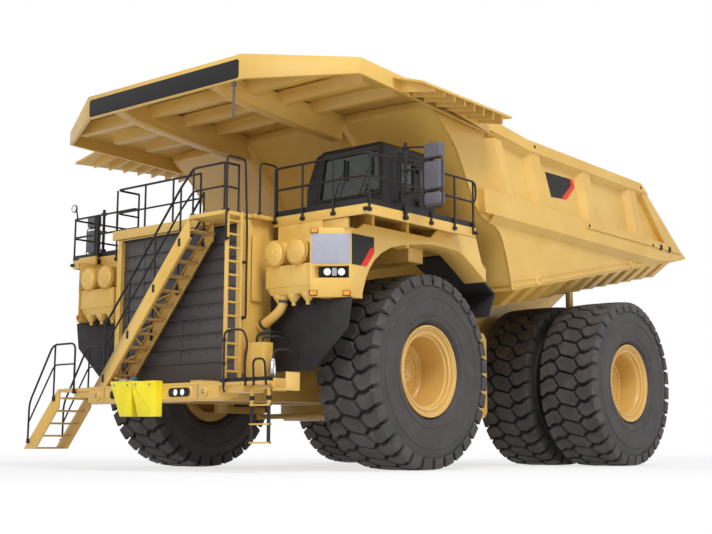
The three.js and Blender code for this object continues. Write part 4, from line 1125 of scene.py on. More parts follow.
refine("deck_centre", 0.008, PANEL_YELLOW, [grip_strips((-2.0, -3.2), (2.0, 0.5), 5.02),
                                                      grip_strips((1.12, -4.0), (2.0, -3.45), 5.02)])
refine("deck_left", 0.008, PANEL_YELLOW,
       kick_strips(-2.9, 5.02) + [grip_strips((2.3, -2.75), (4.5, -1.6), 5.02)])
refine("deck_right", 0.008, PANEL_YELLOW,
       sided(kick_strips(-2.65, 4.82) + [grip_strips((2.3, -2.5), (4.5, 0.5), 4.82)], -1))


# ---- Air cleaners -----------------------------------------------------------------------------------

def air_can(x, back):
    """One air cleaner can with a domed lid, a ribbed edge and a clamp ring."""
    reach = back + 3.36
    profile = [(0, 0.0), (0.05, -0.002), (0.06, -0.012), (0.13, -0.016), (0.14, -0.026), (0.205, -0.034),
               (0.235, -0.055), (0.245, -0.085), (0.268, -0.09), (0.272, -0.105), (0.268, -0.12),
               (0.25, -0.125), (0.25, -0.30), (0.262, -0.305), (0.262, -0.335), (0.25, -0.34),
               (0.25, -reach - 0.02), (0, -reach - 0.02)]
    can = turned(PANEL_YELLOW, profile, (x, -3.36, 4.19), FORWARD, 48)
    rib = solid(PANEL_YELLOW, lambda s: block(s, (-0.085, -0.007, 0.24), (-0.05, 0.007, 0.262)), 0.002)
    ribs = repeated(RING, rib, {"Count": 40, "Material": PANEL_YELLOW, "Place": (0, 0, 0)})
    ribs.transform(Matrix.Translation((x, -3.36, 4.19)) @ Matrix.Rotation(math.radians(-90), 4, "Z"))
    return [can, ribs]


def air_cleaner(front, fascia):
    """The left pair of air cleaners on their wall, over the chest and its dust valves."""
    def walls(shape):
        block(shape, (2.33, front, 3.52), (3.51, front + 0.1, fascia - 0.0003))

    def chest(shape):
        block(shape, (2.33, -3.24, 3.52), (3.51, front + 0.06, 3.95))

    def hopper(shape):
        bridge(shape, [(2.43, -3.18, 3.38), (3.42, -3.18, 3.38), (3.42, -2.90, 3.38), (2.43, -2.90, 3.38)],
               [(2.36, -3.22, 3.53), (3.48, -3.22, 3.53), (3.48, -2.86, 3.53), (2.36, -2.86, 3.53)])

    def valves(shape):
        for x in (2.56, 2.93, 3.30):
            post(shape, (x, -3.06, 3.34), (x, -3.06, 3.40), 0.135, 24)
            post(shape, (x, -3.06, 3.24), (x, -3.06, 3.345), 0.055, 24, top=0.13)
            post(shape, (x, -3.06, 3.17), (x, -3.06, 3.245), 0.042, 20)

    bolts = row_of(bolt_facing(FORWARD, 0.014, 0.012), PANEL_YELLOW, 8, (0.15, 0, 0), (2.39, -3.24, 3.90))
    return [solid(PANEL_YELLOW, walls, 0.008), solid(PANEL_YELLOW, chest, 0.02),
            solid(PANEL_YELLOW, hopper, 0.012), solid(PANEL_YELLOW, valves, 0.004), bolts,
            *air_can(2.60, front + 0.06), *air_can(3.19, front + 0.06)]


truck_piece("air_cleaner_pair_left", air_cleaner(-2.9, 4.81), "chassis", ["air_cleaner_left"])
truck_piece("air_cleaner_pair_right", sided(air_cleaner(-2.65, 4.61), -1), "chassis",
            ["air_cleaner_right"])


# ---- Fenders with their lamp pods --------------------------------------------------------------------

POD_ALONG = Vector((0.7734, 0.6339, 0))
POD_OUT = Vector((0.6339, -0.7734, 0))
POD_EDGE = Vector((3.53, -3.27, 0))
POD_TURN = (-50.66, "Z")


def pod_point(along, out, height):
    """A place on the pod's face: along it, out from it, and above the ground."""
    return POD_EDGE + POD_ALONG * along + POD_OUT * out + Vector((0, 0, height))


def face_plate(material, corners, thick, radius):
    loop = rounded_loop([pod_point(a, -0.003, z) for a, z in corners], radius)
    return solid(material, lambda s: bridge(s, loop, [p + POD_OUT * thick for p in loop]), 0.002)


def pod_details():
    """The grey plate, the dark panel with its slash, the lamps and the markers of the left pod."""
    grey = face_plate(PLATE_GREY, [(0.02, 3.91), (0.77, 3.91), (0.77, 4.50), (0.02, 4.50)], 0.01, 0.02)
    insert = face_plate(PLATE_GREY, [(0.42, 3.69), (0.51, 3.69), (0.51, 3.84), (0.42, 3.84)], 0.03, 0.01)
    insert.transform(Matrix.Translation(POD_OUT * -0.07))
    side_loop = [(4.138, -2.76, 3.91), (4.138, -2.33, 3.91), (4.138, -2.10, 4.20), (4.138, -2.10, 4.50),
                 (4.138, -2.76, 4.50)]
    slash_loop = [(4.138, -2.33, 3.91), (4.138, -2.10, 4.20), (4.138, -2.10, 4.32), (4.138, -2.22, 4.27),
                  (4.138, -2.50, 3.91)]

    def raised(loop, thick):
        return lambda s: bridge(s, loop, [(x + thick, y, z) for x, y, z in loop])

    parts = [grey, insert, filler(), solid(PLATE_BLACK, raised(side_loop, 0.012)),
             solid(PLATE_RED, raised(slash_loop, 0.016))]
    for along in (0.33, 0.60):
        parts += round_lamp(pod_point(along, -0.045, 3.762), POD_TURN, 0.072)
    for along, height in ((0.08, 4.552), (0.07, 3.35), (0.70, 3.35)):
        parts += marker(pod_point(along, 0.0, height))
    return parts


def filler():
    """The plate that closes the gap between the pod's top and the deck."""
    return solid(PANEL_YELLOW, lambda s: block(s, (3.51, -2.87, 4.60), (4.12, -2.80, 4.80)), 0.008)


def side_marker(height):
    """An amber marker box on the pod's outer side."""
    def lens(shape):
        block(shape, (4.135, -2.75, height - 0.045), (4.21, -2.62, height + 0.045))

    def base(shape):
        block(shape, (4.13, -2.77, height - 0.055), (4.15, -2.60, height + 0.055))

    return [solid(LAMP_AMBER, lens, 0.015), solid(CAB_BLACK, base, 0.006)]


def marker(place):
    """An amber marker lamp on the pod's face."""
    parts = []
    for material, wide, high, near, far in ((CAB_BLACK, 0.075, 0.055, -0.01, 0.014),
                                            (LAMP_AMBER, 0.062, 0.042, 0.0, 0.045)):
        mesh = solid(material, lambda s: block(s, (near, -wide, -high), (far, wide, high)), 0.012)
        mesh.transform(Matrix.Translation(place) @ Matrix.Rotation(math.radians(POD_TURN[0]), 4, "Z"))
        parts.append(mesh)
    return parts


def fender_rubber_and_recess_shade(centre, normal):
    """The mudguard behind the tyre is rubber; the inside of the lamp recess is painted in the dark rubber as
    painted shade.
    """
    outer_skin = abs(normal.x) > 0.9 and abs(centre.x) > 3.5 and centre.z > 4.3
    if centre.y > 0.85 and abs(centre.x) < 3.77 and not outer_skin:
        return 1
    # Painted shade: the lamp recess's inner walls take the dark rubber.
    if centre.y < -2.6 and 3.65 < centre.z < 3.875 and abs(normal.z) < 0.9:
        inside = (Vector((abs(centre.x), centre.y, 0)) - POD_EDGE).dot(POD_OUT)
        if inside < -0.02 and abs(centre.x) > 3.6:
            return 1
    return 0


refine("fender_left", 0.010, PANEL_YELLOW, pod_details(),
       [PANEL_YELLOW, GUARD_RUBBER], fender_rubber_and_recess_shade)
refine("fender_right", 0.010, PANEL_YELLOW,
       sided([*pod_details(), *side_marker(4.552), *side_marker(3.40)], -1),
       [PANEL_YELLOW, GUARD_RUBBER], fender_rubber_and_recess_shade)


# ---- Bumper, its platforms and the chocks --------------------------------------------------------------

def lamp_slot(x, z):
    """The long opening around a pair of lamps, in a pressed surround, with a black sheet inside as painted
    shade.
    """
    def loop(half, rise, y):
        return rounded_loop([(x - half, y, z - rise), (x + half, y, z - rise), (x + half, y, z + rise),
                             (x - half, y, z + rise)], rise)

    def rim(shape):
        bridge(shape, loop(0.36, 0.125, -4.119), loop(0.34, 0.108, -4.134))

    # A thin black sheet in the opening: painted shade for its dark inside.
    def dark(shape):
        bridge(shape, loop(0.315, 0.09, -4.125), loop(0.31, 0.088, -4.137))

    return [solid(PANEL_YELLOW, rim, 0.003), solid(CAB_BLACK, dark)]


def bumper_details():
    """Lamps, boss rings, mats, the edge angle and the small boxes of the bumper."""
    parts = []
    for x in (-0.9, 0.9):
        parts += lamp_slot(x, 1.53)
        for step in (-0.1, 0.1):
            parts += round_lamp((x + step, -4.135, 1.53), FORWARD, 0.066)
    ring = [(0.045, 0.05), (0.09, 0.05), (0.10, 0.04), (0.105, -0.01), (0, -0.01), (0, 0.02), (0.045, 0.02)]
    for x in (-1.62, 1.62):
        parts.append(turned(PANEL_YELLOW, ring, (x, -4.12, 1.525), FORWARD, 28))
        parts.append(turned(BOLT_STEEL, [(0, 0.055), (0.03, 0.055), (0.035, 0.045), (0.035, 0), (0, 0)],
                            (x, -4.12, 1.525), FORWARD, 6))

    def seams(shape):
        for x in (-1.36, 1.36):
            block(shape, (x - 0.015, -4.128, 1.40), (x + 0.015, -4.115, 1.69))
        block(shape, (-1.93, -4.126, 1.672), (1.99, -4.10, 1.712))

    def edges(shape):
        block(shape, (2.03, -4.128, 1.69), (3.28, -4.11, 1.76))
        block(shape, (3.272, -4.12, 1.69), (3.288, -3.26, 1.76))

    def mats(shape):
        for low, high in (((-2.88, -4.05), (-2.02, -3.78)), ((-2.88, -3.66), (-2.02, -3.34)),
                          ((2.2, -4.05), (3.2, -3.78)), ((2.2, -3.66), (3.2, -3.34))):
            block(shape, (*low, 1.695), (*high, 1.708))

    def bracket(shape):
        block(shape, (3.27, -3.98, 1.52), (3.62, -3.62, 1.545))
        block(shape, (3.60, -3.98, 1.50), (3.625, -3.62, 1.84))
        block(shape, (3.27, -3.98, 1.50), (3.295, -3.62, 1.74))

    bolts = row_of(bolt_facing(FORWARD, 0.016, 0.012), BOLT_STEEL, 6, (0, 0, 0.05), (1.42, -4.12, 1.42))
    others = row_of(bolt_facing(FORWARD, 0.016, 0.012), BOLT_STEEL, 6, (0, 0, 0.05), (-1.42, -4.12, 1.42))
    return parts + [solid(PANEL_YELLOW, seams, 0.004), solid(GUARD_RUBBER, mats, 0.003),
                    solid(CAB_BLACK, edges, 0.003), solid(PANEL_YELLOW, bracket, 0.006), bolts, others,
                    solid(FILTER_BLUE, lambda s: block(s, (-0.75, -4.02, 1.70), (-0.64, -3.90, 1.88)), 0.015),
                    solid(PLATE_GREY, lambda s: block(s, (-1.14, -3.98, 1.70), (-0.92, -3.95, 1.86)), 0.01)]


refine("front_bumper", 0.012, PANEL_YELLOW, bumper_details())


def chock_details():
    """Hanging straps and bolt heads on the chocks."""
    bolts = [row_of(bolt_facing(FORWARD, 0.02, 0.014), BOLT_STEEL, 2, (0.42, 0, -0.01), (x, -4.32, 1.71))
             for x in (-0.86, -0.19)]

    def straps(shape):
        for x in (-0.85, -0.44, -0.18, 0.24):
            block(shape, (x - 0.02, -4.20, 1.70), (x + 0.02, -4.12, 1.80))

    return bolts + [solid(CAB_BLACK, straps, 0.004)]


refine("wheel_chocks", 0.022, CHOCK_YELLOW, chock_details())


# ---- Main stair ----------------------------------------------------------------------------------------

STAIR_FOOT = Vector((-1.81 - 0.0003, 0, 1.70))
STAIR_TOP = Vector((1.05 - 0.0003, 0, 5.03))
STAIR_SLOPE = 3.33 / 2.86
STRINGER_REACH = 0.30 / math.sin(math.atan(STAIR_SLOPE))
RAIL_FROM = STAIR_FOOT.x + 0.30
RAIL_TO = STAIR_TOP.x - 0.30


def stair_height(x):
    """The height of the stair's slope line over a place along it."""
    return STAIR_FOOT.z + (x - STAIR_FOOT.x) * STAIR_SLOPE


def stringers(shape):
    """Two channels: a web on the outside and flanges that face the treads."""
    x0, x1 = STAIR_FOOT.x, STAIR_TOP.x
    outline = [(x0, 1.7003), (x0 + STRINGER_REACH, 1.7003), (x1, stair_height(x1 - STRINGER_REACH)),
               (x1, 5.02)]
    for outer, inward in ((-4.10, 1), (-3.44, -1)):
        bridge(shape, [(x, outer, z) for x, z in outline],
               [(x, outer + inward * 0.016, z) for x, z in outline])
        for (xa, za), (xb, zb), drop in ((outline[0], outline[3], -0.018), (outline[1], outline[2], 0.018)):
            bridge(shape, [(xa, outer, za), (xb, outer, zb), (xb, outer, zb + drop), (xa, outer, za + drop)],
                   [(xa, outer + inward * 0.075, za), (xb, outer + inward * 0.075, zb),
                    (xb, outer + inward * 0.075, zb + drop), (xa, outer + inward * 0.075, za + drop)])


def tread(shape):
    """One stair tread: a pan with a raised nosing and bars along it."""
    block(shape, (0.06, -4.08, -0.04), (0.30, -3.46, -0.012))
    block(shape, (0.06, -4.08, -0.05), (0.085, -3.46, 0.0))
    for x in (0.12, 0.17, 0.22, 0.27):
        block(shape, (x, -4.08, -0.02), (x + 0.02, -3.46, 0.0))


def stair_braces(shape):
    """Zig-zag braces between the stringers under the treads."""
    for i in range(6):
        x = -1.42 + i * 0.26
        low, high = stair_height(x - 0.26), stair_height(x)
        ys = (-4.06, -3.48) if i % 2 else (-3.48, -4.06)
        bent_tube(shape, [(x, ys[0], low), (x + 0.26, ys[1], high)], 0.018, sides=8)


def stair_rails(shape):
    """The stair's two handrails, carried on around the landing's front."""
    def line(x, y, lift):
        return (x, y, stair_height(x) + lift)

    for y, ends in ((-4.08, True), (-3.46, False)):
        for lift, radius in ((0.95, 0.024), (0.48, 0.02)):
            path = [line(RAIL_FROM, y, lift), line(RAIL_TO, y, lift)]
            if ends:
                z = 5.02 + lift
                path += [(1.11, y, z), (2.01, y, z), (2.01, y + 0.38, z)]
            elif lift > 0.9:
                path = [line(RAIL_FROM, y, -0.20), *path]
            bent_tube(shape, path, radius)
        for t in (0, 0.33, 0.67, 1):
            x = RAIL_FROM + t * (RAIL_TO - RAIL_FROM)
            post(shape, line(x, y, -0.25), line(x, y, 0.95), 0.021, 12)
    for x, y in ((1.11, -4.08), (2.01, -4.08), (2.01, -3.70)):
        post(shape, (x, y, 5.0203), (x, y, 5.97), 0.021, 12)


def stair_feet(shape):
    """Clamp plates at the rail posts' feet."""
    for y in (-4.08, -3.46):
        for t in (0, 0.33, 0.67, 1):
            x = RAIL_FROM + t * (RAIL_TO - RAIL_FROM)
            z = stair_height(x) - 0.17
            block(shape, (x - 0.035, y - 0.028, z - 0.08), (x + 0.035, y + 0.028, z + 0.08))
    for x, y in ((1.11, -4.08), (2.01, -4.08), (2.01, -3.70)):
        block(shape, (x - 0.05, y - 0.035, 5.0203), (x + 0.05, y + 0.035, 5.045))


treads = row_of(solid(TREAD_PLATE, tread, 0.002, 1), TREAD_PLATE, 11,
                (0.2775 / STAIR_SLOPE, 0, 0.2775), (STAIR_FOOT.x + 0.2775 / STAIR_SLOPE, 0, 1.9775))
truck_piece("main_stair_finished", [solid(PANEL_YELLOW, stringers, 0.004), treads,
                                    solid(PANEL_YELLOW, stair_braces), solid(TUBE_BLACK, stair_rails),
                                    solid(TUBE_BLACK, stair_feet, 0.004)],
            "chassis", ["main_stair"])


# ---- Ladders and the access stair --------------------------------------------------------------------------

def ladder_rung():
    """A rung of folded sheet with a row of grip dimples."""
    def draw(shape):
        post(shape, (2.1003, -4.08, 0), (2.1003, -3.68, 0), 0.02, 10)
        for k in range(5):
            post(shape, (2.1003, -4.03 + k * 0.07, 0.014), (2.1003, -4.015 + k * 0.07, 0.014), 0.016, 8)
    return solid(PANEL_YELLOW, draw)


def ladder_sides(shape):
    for y in (-4.11, -3.72):
        block(shape, (2.0703, y, 1.7003), (2.1303, y + 0.07, 5.02))


def ladder_hoops(shape):
    """The long black grab tubes beside the ladder and the hoops around the platform's opening."""
    bent_tube(shape, [(2.10, -4.13, 4.42), (2.17, -4.17, 4.46), (2.17, -4.17, 6.07), (2.17, -3.68, 6.07),
                      (2.19, -3.63, 4.70), (2.19, -3.63, 2.96), (2.12, -3.66, 2.92)], 0.022)
    bent_tube(shape, [(2.165, -4.13, 1.50), (2.165, -4.16, 1.56), (2.165, -4.16, 2.66), (2.68, -4.16, 2.66),
                      (2.80, -4.16, 2.38), (2.72, -4.16, 2.06), (2.72, -4.13, 1.60)], 0.021, 0.14)
    bent_tube(shape, [(2.94, -4.13, 1.60), (2.94, -4.16, 2.09), (3.24, -4.16, 2.09), (3.255, -4.13, 1.60)],
              0.021, 0.12)
    bent_tube(shape, [(2.24, -3.34, 5.03), (2.24, -3.34, 6.06), (2.24, -2.86, 6.06), (2.24, -2.84, 5.03)],
              0.021, 0.12)


def ladder_latch(shape):
    for z in (2.00, 2.45):
        block(shape, (2.145, -4.19, z), (2.19, -4.13, z + 0.07))
    for z in (4.42, 4.98):
        block(shape, (2.125, -4.16, z), (2.175, -4.09, z + 0.05))
    for z in (2.92, 4.0):
        block(shape, (2.125, -3.69, z), (2.20, -3.62, z + 0.05))
    block(shape, (2.20, -3.37, 5.0203), (2.28, -3.31, 5.045))
    block(shape, (2.20, -2.87, 5.0203), (2.28, -2.81, 5.045))


truck_piece("front_ladder_finished",
            [solid(PANEL_YELLOW, ladder_sides, 0.010),
             row_of(ladder_rung(), PANEL_YELLOW, 12, (0, 0, 0.265), (0, 0, 1.90))],
            "chassis", ["front_ladder"])
truck_piece("platform_hoops", [solid(TUBE_BLACK, ladder_hoops), solid(TUBE_BLACK, ladder_latch, 0.006)],
            "chassis")


def access_details():
    """Grip bars on the access stair's steps, and its two bent handrails with their feet."""
    bar = solid(TREAD_PLATE, lambda s: block(s, (0.0, -4.07, -0.004), (0.02, -3.30, 0.008)), 0.002)
    parts = []
    for i in range(5):
        z = 0.46 + i * 0.265
        x = -4.11 + 1.14 * (z - 0.43) / 1.27
        parts.append(row_of(bar, TREAD_PLATE, 5, (0.055, 0, 0), (x + 0.02, 0, z)))

    def rails(shape):
        for y in (-4.14, -3.23):
            bent_tube(shape, [(-3.98, y, 0.62), (-3.98, y, 1.42), (-3.20, y, 2.66), (-2.42, y, 2.66),
                              (-2.42, y, 1.66)], 0.022, 0.16)
            bent_tube(shape, [(-3.98, y, 1.0), (-3.12, y, 2.22), (-2.42, y, 2.22)], 0.018, 0.12)
            post(shape, (-3.12, y, 1.50), (-3.12, y, 2.66), 0.02, 12)

    def feet(shape):
        for y in (-4.125, -3.245):
            for x, z in ((-3.98, 0.60), (-3.12, 1.50), (-2.42, 1.64)):
                block(shape, (x - 0.04, y - 0.03, z - 0.05), (x + 0.04, y + 0.03, z + 0.05))

    return parts + [solid(TUBE_BLACK, rails), solid(TUBE_BLACK, feet, 0.006)]


refine("access_stair", 0.008, PANEL_YELLOW, access_details(), [PANEL_YELLOW, TREAD_PLATE],
       lambda centre, normal: 1 if normal.z > 0.9 and -4.09 < centre.y < -3.26 else 0)


def hanging_details():
    """Clamps that hold the ladder's side straps to its upper part."""
    def clamps(shape):
        for x in (2.64, 3.08):
            block(shape, (x, -3.945, 1.34), (x + 0.09, -3.885, 1.42))
    return [solid(CAB_BLACK, clamps, 0.006)]


def hanging_paint(centre, normal):
    """The side straps below the platform are rubber."""
    return 1 if abs(normal.z) < 0.5 and centre.z < 1.3 and abs(centre.y + 3.915) < 0.022 else 0


refine("hanging_ladder", 0.006, PANEL_YELLOW, hanging_details(),
       [PANEL_YELLOW, GUARD_RUBBER], hanging_paint)


# ---- Handrails and mirrors ---------------------------------------------------------------------------------

def guard_rail(shape, path, floor, posts, start):
    """A top rail and a middle rail with bent corners, on posts."""
    for lift, radius in ((1.05, 0.024), (0.525, 0.02)):
        bent_tube(shape, [(x, y, floor + lift) for x, y in path], radius, 0.14)
    for x, y in posts:
        post(shape, (x, y, floor + start), (x, y, floor + 1.04), 0.022, 12)


def side_rail(front, floor):
    """The left side deck's rail, outside its fascia."""
    x, y = 4.6523, front - 0.0223
    top, low = floor + 0.97, floor + 0.525
    path = [(2.26, y, low), (2.26, y, top), (x, y, top), (x, 0.66, top), (x, 0.66, low), (x, y, low),
            (2.26, y, low)]

    def tubes(shape):
        bent_tube(shape, path, 0.023, 0.15)
        for px, py in ((2.26, y), (3.0, y), (3.8, y), (x, front + 0.05), (x, -0.9), (x, -0.1), (x, 0.56)):
            post(shape, (px, py, floor - 0.16), (px, py, top), 0.022, 12)
    return solid(TUBE_BLACK, tubes)


def mirror(floor):
    """The left mirror: three rounded shells on brackets from one post."""
    y = -1.755
    segments = ((0.04, 0.34), (0.355, 0.96), (0.975, 1.32))

    def frame_tubes(shape):
        post(shape, (4.6653, y, floor - 0.18), (4.6653, y, floor + 1.36), 0.036, 16)
        for z in (0.35, 0.80, 1.25):
            arm = [(4.6653, y, floor + z), (4.82, y, floor + z), (5.04, y + 0.15, floor + z)]
            bent_tube(shape, arm, 0.02)
        bent_tube(shape, [(5.16, y + 0.20, floor + 0.03), (5.16, y + 0.20, floor + 1.33)], 0.018)

    def clamps(shape):
        for z in (-0.14, -0.02, 0.35, 0.80, 1.25):
            block(shape, (4.61, y - 0.05, floor + z - 0.035), (4.71, y + 0.05, floor + z + 0.035))

    def outline(low, high, inset, depth, radius):
        corners = [(5.01 + inset, low + inset), (5.47 - inset, low + inset), (5.47 - inset, high - inset),
                   (5.01 + inset, high - inset)]
        return rounded_loop([(x, y + depth, floor + z) for x, z in corners], radius)

    def shells(shape):
        for low, high in segments:
            bridge(shape, outline(low, high, 0.035, 0.09, 0.06), outline(low, high, 0.0, 0.20, 0.08))

    def glasses(shape):
        for low, high in segments:
            loop = outline(low, high, 0.03, 0.198, 0.06)
            bridge(shape, loop, [p + Vector((0, 0.006, 0)) for p in loop])

    def guard(shape):
        loop = outline(0.30, 0.98, -0.004, 0.12, 0.08)
        bent_tube(shape, [*loop, loop[0]], 0.012, 0.01, 8)
        loop = outline(0.02, 0.34, -0.004, 0.12, 0.08)
        bent_tube(shape, [*loop, loop[0]], 0.012, 0.01, 8)

    return [solid(TUBE_BLACK, frame_tubes), solid(TUBE_BLACK, clamps, 0.008),
            solid(MIRROR_GREY, shells, 0.018, 3), solid(TUBE_BLACK, guard), solid(MIRROR_GLASS, glasses)]


def centre_rail(shape):
    """The rail along the centre deck's front, and its gate toward the landing."""
    path = [(0.55, -3.37), (-2.14, -3.37), (-2.14, -2.77)]
    guard_rail(shape, path, 5.02, [path[0], (-0.3, -3.37), (-1.2, -3.37), path[1], path[2]], 0.0003)


def centre_feet(shape):
    for x, y in ((0.55, -3.37), (-0.3, -3.37), (-1.2, -3.37), (-2.14, -3.37), (-2.14, -2.77)):
        block(shape, (x - 0.05, y - 0.035, 5.0203), (x + 0.05, y + 0.035, 5.05))


def far_lamp_post():
    """The far deck's thick post and its work lamp on a bent arm."""
    def tubes(shape):
        post(shape, (-3.65, -2.71, 4.66), (-3.65, -2.71, 5.74), 0.045, 16)
        bent_tube(shape, [(-4.45, -2.70, 5.80), (-4.45, -2.72, 5.93), (-4.47, -2.74, 6.02)], 0.018)
        block(shape, (-3.71, -2.74, 4.66), (-3.59, -2.648, 4.74))
    return [solid(TUBE_BLACK, tubes), *round_lamp((-4.47, -2.79, 6.03), FORWARD, 0.085)]


truck_piece("handrail_left_finished", [side_rail(-2.9, 5.02), *mirror(5.02)], "chassis",
            ["handrail_left"])
truck_piece("handrail_right_finished",
            [*sided([side_rail(-2.65, 4.82), *mirror(4.82)], -1), *far_lamp_post()],
            "chassis", ["handrail_right"])
truck_piece("handrail_centre_finished",
            [solid(TUBE_BLACK, centre_rail), solid(TUBE_BLACK, centre_feet, 0.004)],
            "chassis", ["handrail_centre"])


# ---- Cab ---------------------------------------------------------------------------------------------------

def cab_details():
    """Seams, gaskets, a work lamp, the cooler, the fairing, wipers and grab bars on the cab's outside."""
    gasket = [(2.15, 5.53), (3.84, 5.53), (3.80, 6.46), (2.30, 6.46)]

    def seals(shape):
        ring = rounded_loop([(x, -1.503, z) for x, z in gasket], 0.06)
        inner = rounded_loop([(2.195, -1.503, 5.575), (3.795, -1.503, 5.575), (3.755, -1.503, 6.415),
                              (2.335, -1.503, 6.415)], 0.05)
        for i in range(len(ring)):
            j = (i + 1) % len(ring)
            bridge(shape, [ring[i], ring[j], inner[j], inner[i]],
                   [p - Vector((0, 0.014, 0)) for p in (ring[i], ring[j], inner[j], inner[i])])

    def seams(shape):
        block(shape, (1.99, -1.508, 5.30), (3.90, -1.496, 5.325))
        block(shape, (2.30, -1.506, 6.49), (3.80, -1.496, 6.51))
        block(shape, (3.915, -1.48, 5.30), (3.926, -1.10, 5.325))
        block(shape, (3.915, -0.33, 5.30), (3.926, 0.18, 5.325))

    def cooler(shape):
        block(shape, (2.55, -0.95, 6.598), (3.55, -0.10, 6.72))

    def grabs(shape):
        bent_tube(shape, [(3.92, -1.18, 5.35), (3.99, -1.18, 5.40), (3.99, -1.18, 6.25),
                          (3.92, -1.18, 6.30)], 0.017)
        bent_tube(shape, [(2.6, -1.50, 5.20), (2.6, -1.56, 5.24), (3.4, -1.56, 5.24),
                          (3.4, -1.50, 5.20)], 0.015)

    def wipers(shape):
        for x in (2.62, 3.30):
            bent_tube(shape, [(x, -1.50, 5.53), (x, -1.545, 5.55), (x + 0.30, -1.545, 6.20)], 0.011, sides=8)
            block(shape, (x + 0.26, -1.55, 5.90), (x + 0.285, -1.50, 6.34))

    def fairing(shape):
        outline = [(1.96, 5.03), (1.77, 5.06), (1.80, 5.88), (2.06, 6.53), (2.22, 6.58), (1.98, 5.40)]
        bridge(shape, [(x, -1.49, z) for x, z in outline], [(x, 0.16, z) for x, z in outline])

    fins = row_of(solid(CAB_BLACK, lambda s: block(s, (2.6, -0.968, 6.62), (2.64, -0.945, 6.70)), 0.004),
                  CAB_BLACK, 15, (0.063, 0, 0))
    parts = [solid(GUARD_RUBBER, seals), solid(PANEL_GREY, seams, 0.003),
             solid(CAB_BLACK, cooler, 0.03, 3), fins, solid(CAB_BLACK, fairing, 0.03, 3),
             solid(TUBE_BLACK, grabs), solid(CAB_BLACK, wipers, 0.002)]
    return parts + square_lamp(3.80, -1.58, 5.16)


def square_lamp(x, y, z):
    """A square work lamp on its bracket."""
    def housing(shape):
        block(shape, (x - 0.08, y, z - 0.05), (x + 0.08, y + 0.10, z + 0.08))
        block(shape, (x - 0.02, y + 0.03, z - 0.10), (x + 0.02, y + 0.07, z - 0.04))

    def lens(shape):
        block(shape, (x - 0.065, y - 0.006, z - 0.035), (x + 0.065, y + 0.004, z + 0.065))

    return [solid(CAB_BLACK, housing, 0.012), solid(LAMP_WHITE, lens, 0.004)]


def cab_inside():
    """The seat, the wheel on its column, the console and the pedals behind the windshield."""
    def cushion(shape):
        block(shape, (2.70, -0.95, 5.52), (3.26, -0.40, 5.66))
        bridge(shape, [(2.72, -0.50, 5.60), (3.24, -0.50, 5.60), (3.24, -0.36, 5.60), (2.72, -0.36, 5.60)],
               [(2.76, -0.36, 6.22), (3.20, -0.36, 6.22), (3.20, -0.26, 6.22), (2.76, -0.26, 6.22)])
        block(shape, (2.84, -0.34, 6.24), (3.12, -0.25, 6.42))

    def base(shape):
        bridge(shape, [(2.72, -0.92, 5.09), (3.24, -0.92, 5.09), (3.24, -0.42, 5.09), (2.72, -0.42, 5.09)],
               [(2.80, -0.86, 5.52), (3.16, -0.86, 5.52), (3.16, -0.48, 5.52), (2.80, -0.48, 5.52)])
        post(shape, (2.98, -1.26, 5.42), (2.98, -1.10, 5.68), 0.04, 14)
        for x in (2.82, 3.14):
            foot, top = ([(x - 0.05, y, z), (x + 0.05, y, z), (x + 0.05, y + 0.02, z),
                          (x - 0.05, y + 0.02, z)] for y, z in ((-1.22, 5.12), (-1.14, 5.26)))
            bridge(shape, foot, top)

    def wheel(shape):
        centre, tilt = Vector((2.98, -1.09, 5.70)), math.radians(35)
        across, up = Vector((1, 0, 0)), Vector((0, math.sin(tilt), math.cos(tilt)))
        loop = []
        for k in range(25):
            angle = math.pi * 2 * k / 24
            loop.append(centre + (across * math.cos(angle) + up * math.sin(angle)) * 0.22)
        bent_tube(shape, loop, 0.018, 0.02, 8)
        for k in (2, 10, 18):
            post(shape, centre, loop[k], 0.014, 8)

    def console(shape):
        bridge(shape, [(2.06, -1.42, 5.09), (3.82, -1.42, 5.09), (3.82, -1.20, 5.09), (2.06, -1.20, 5.09)],
               [(2.12, -1.40, 5.62), (3.80, -1.40, 5.62), (3.80, -1.27, 5.68), (2.12, -1.27, 5.68)])
        block(shape, (2.20, -1.05, 5.09), (2.52, -0.40, 5.62))
        block(shape, (2.30, -1.22, 5.66), (2.52, -1.16, 5.86))

    return [solid(SEAT_CLOTH, cushion, 0.04, 3), solid(PLATE_GREY, console, 0.02),
            solid(CAB_BLACK, base, 0.02), solid(GUARD_RUBBER, wheel)]


refine("cab_shell", 0.035, CAB_BLACK, cab_details())
truck_piece("cab_inside", cab_inside(), "chassis")


def door_details():
    """The seal around the door's glass and the pull bar."""
    def seal(shape):
        for front, back, low, high in ((-0.955, -0.515, 5.655, 5.685), (-0.955, -0.515, 6.31, 6.34),
                                       (-0.965, -0.935, 5.655, 6.34), (-0.535, -0.505, 5.655, 6.34)):
            block(shape, (3.918, front, low), (3.93, back, high))

    def bar(shape):
        bent_tube(shape, [(3.92, -0.99, 5.22), (3.97, -0.99, 5.26), (3.97, -0.99, 5.40),
                          (3.92, -0.99, 5.44)], 0.012)

    return [solid(GUARD_RUBBER, seal, 0.004), solid(TUBE_BLACK, bar)]


refine("cab_door", 0.010, CAB_BLACK, door_details())


# ---- Small equipment on the front --------------------------------------------------------------------------

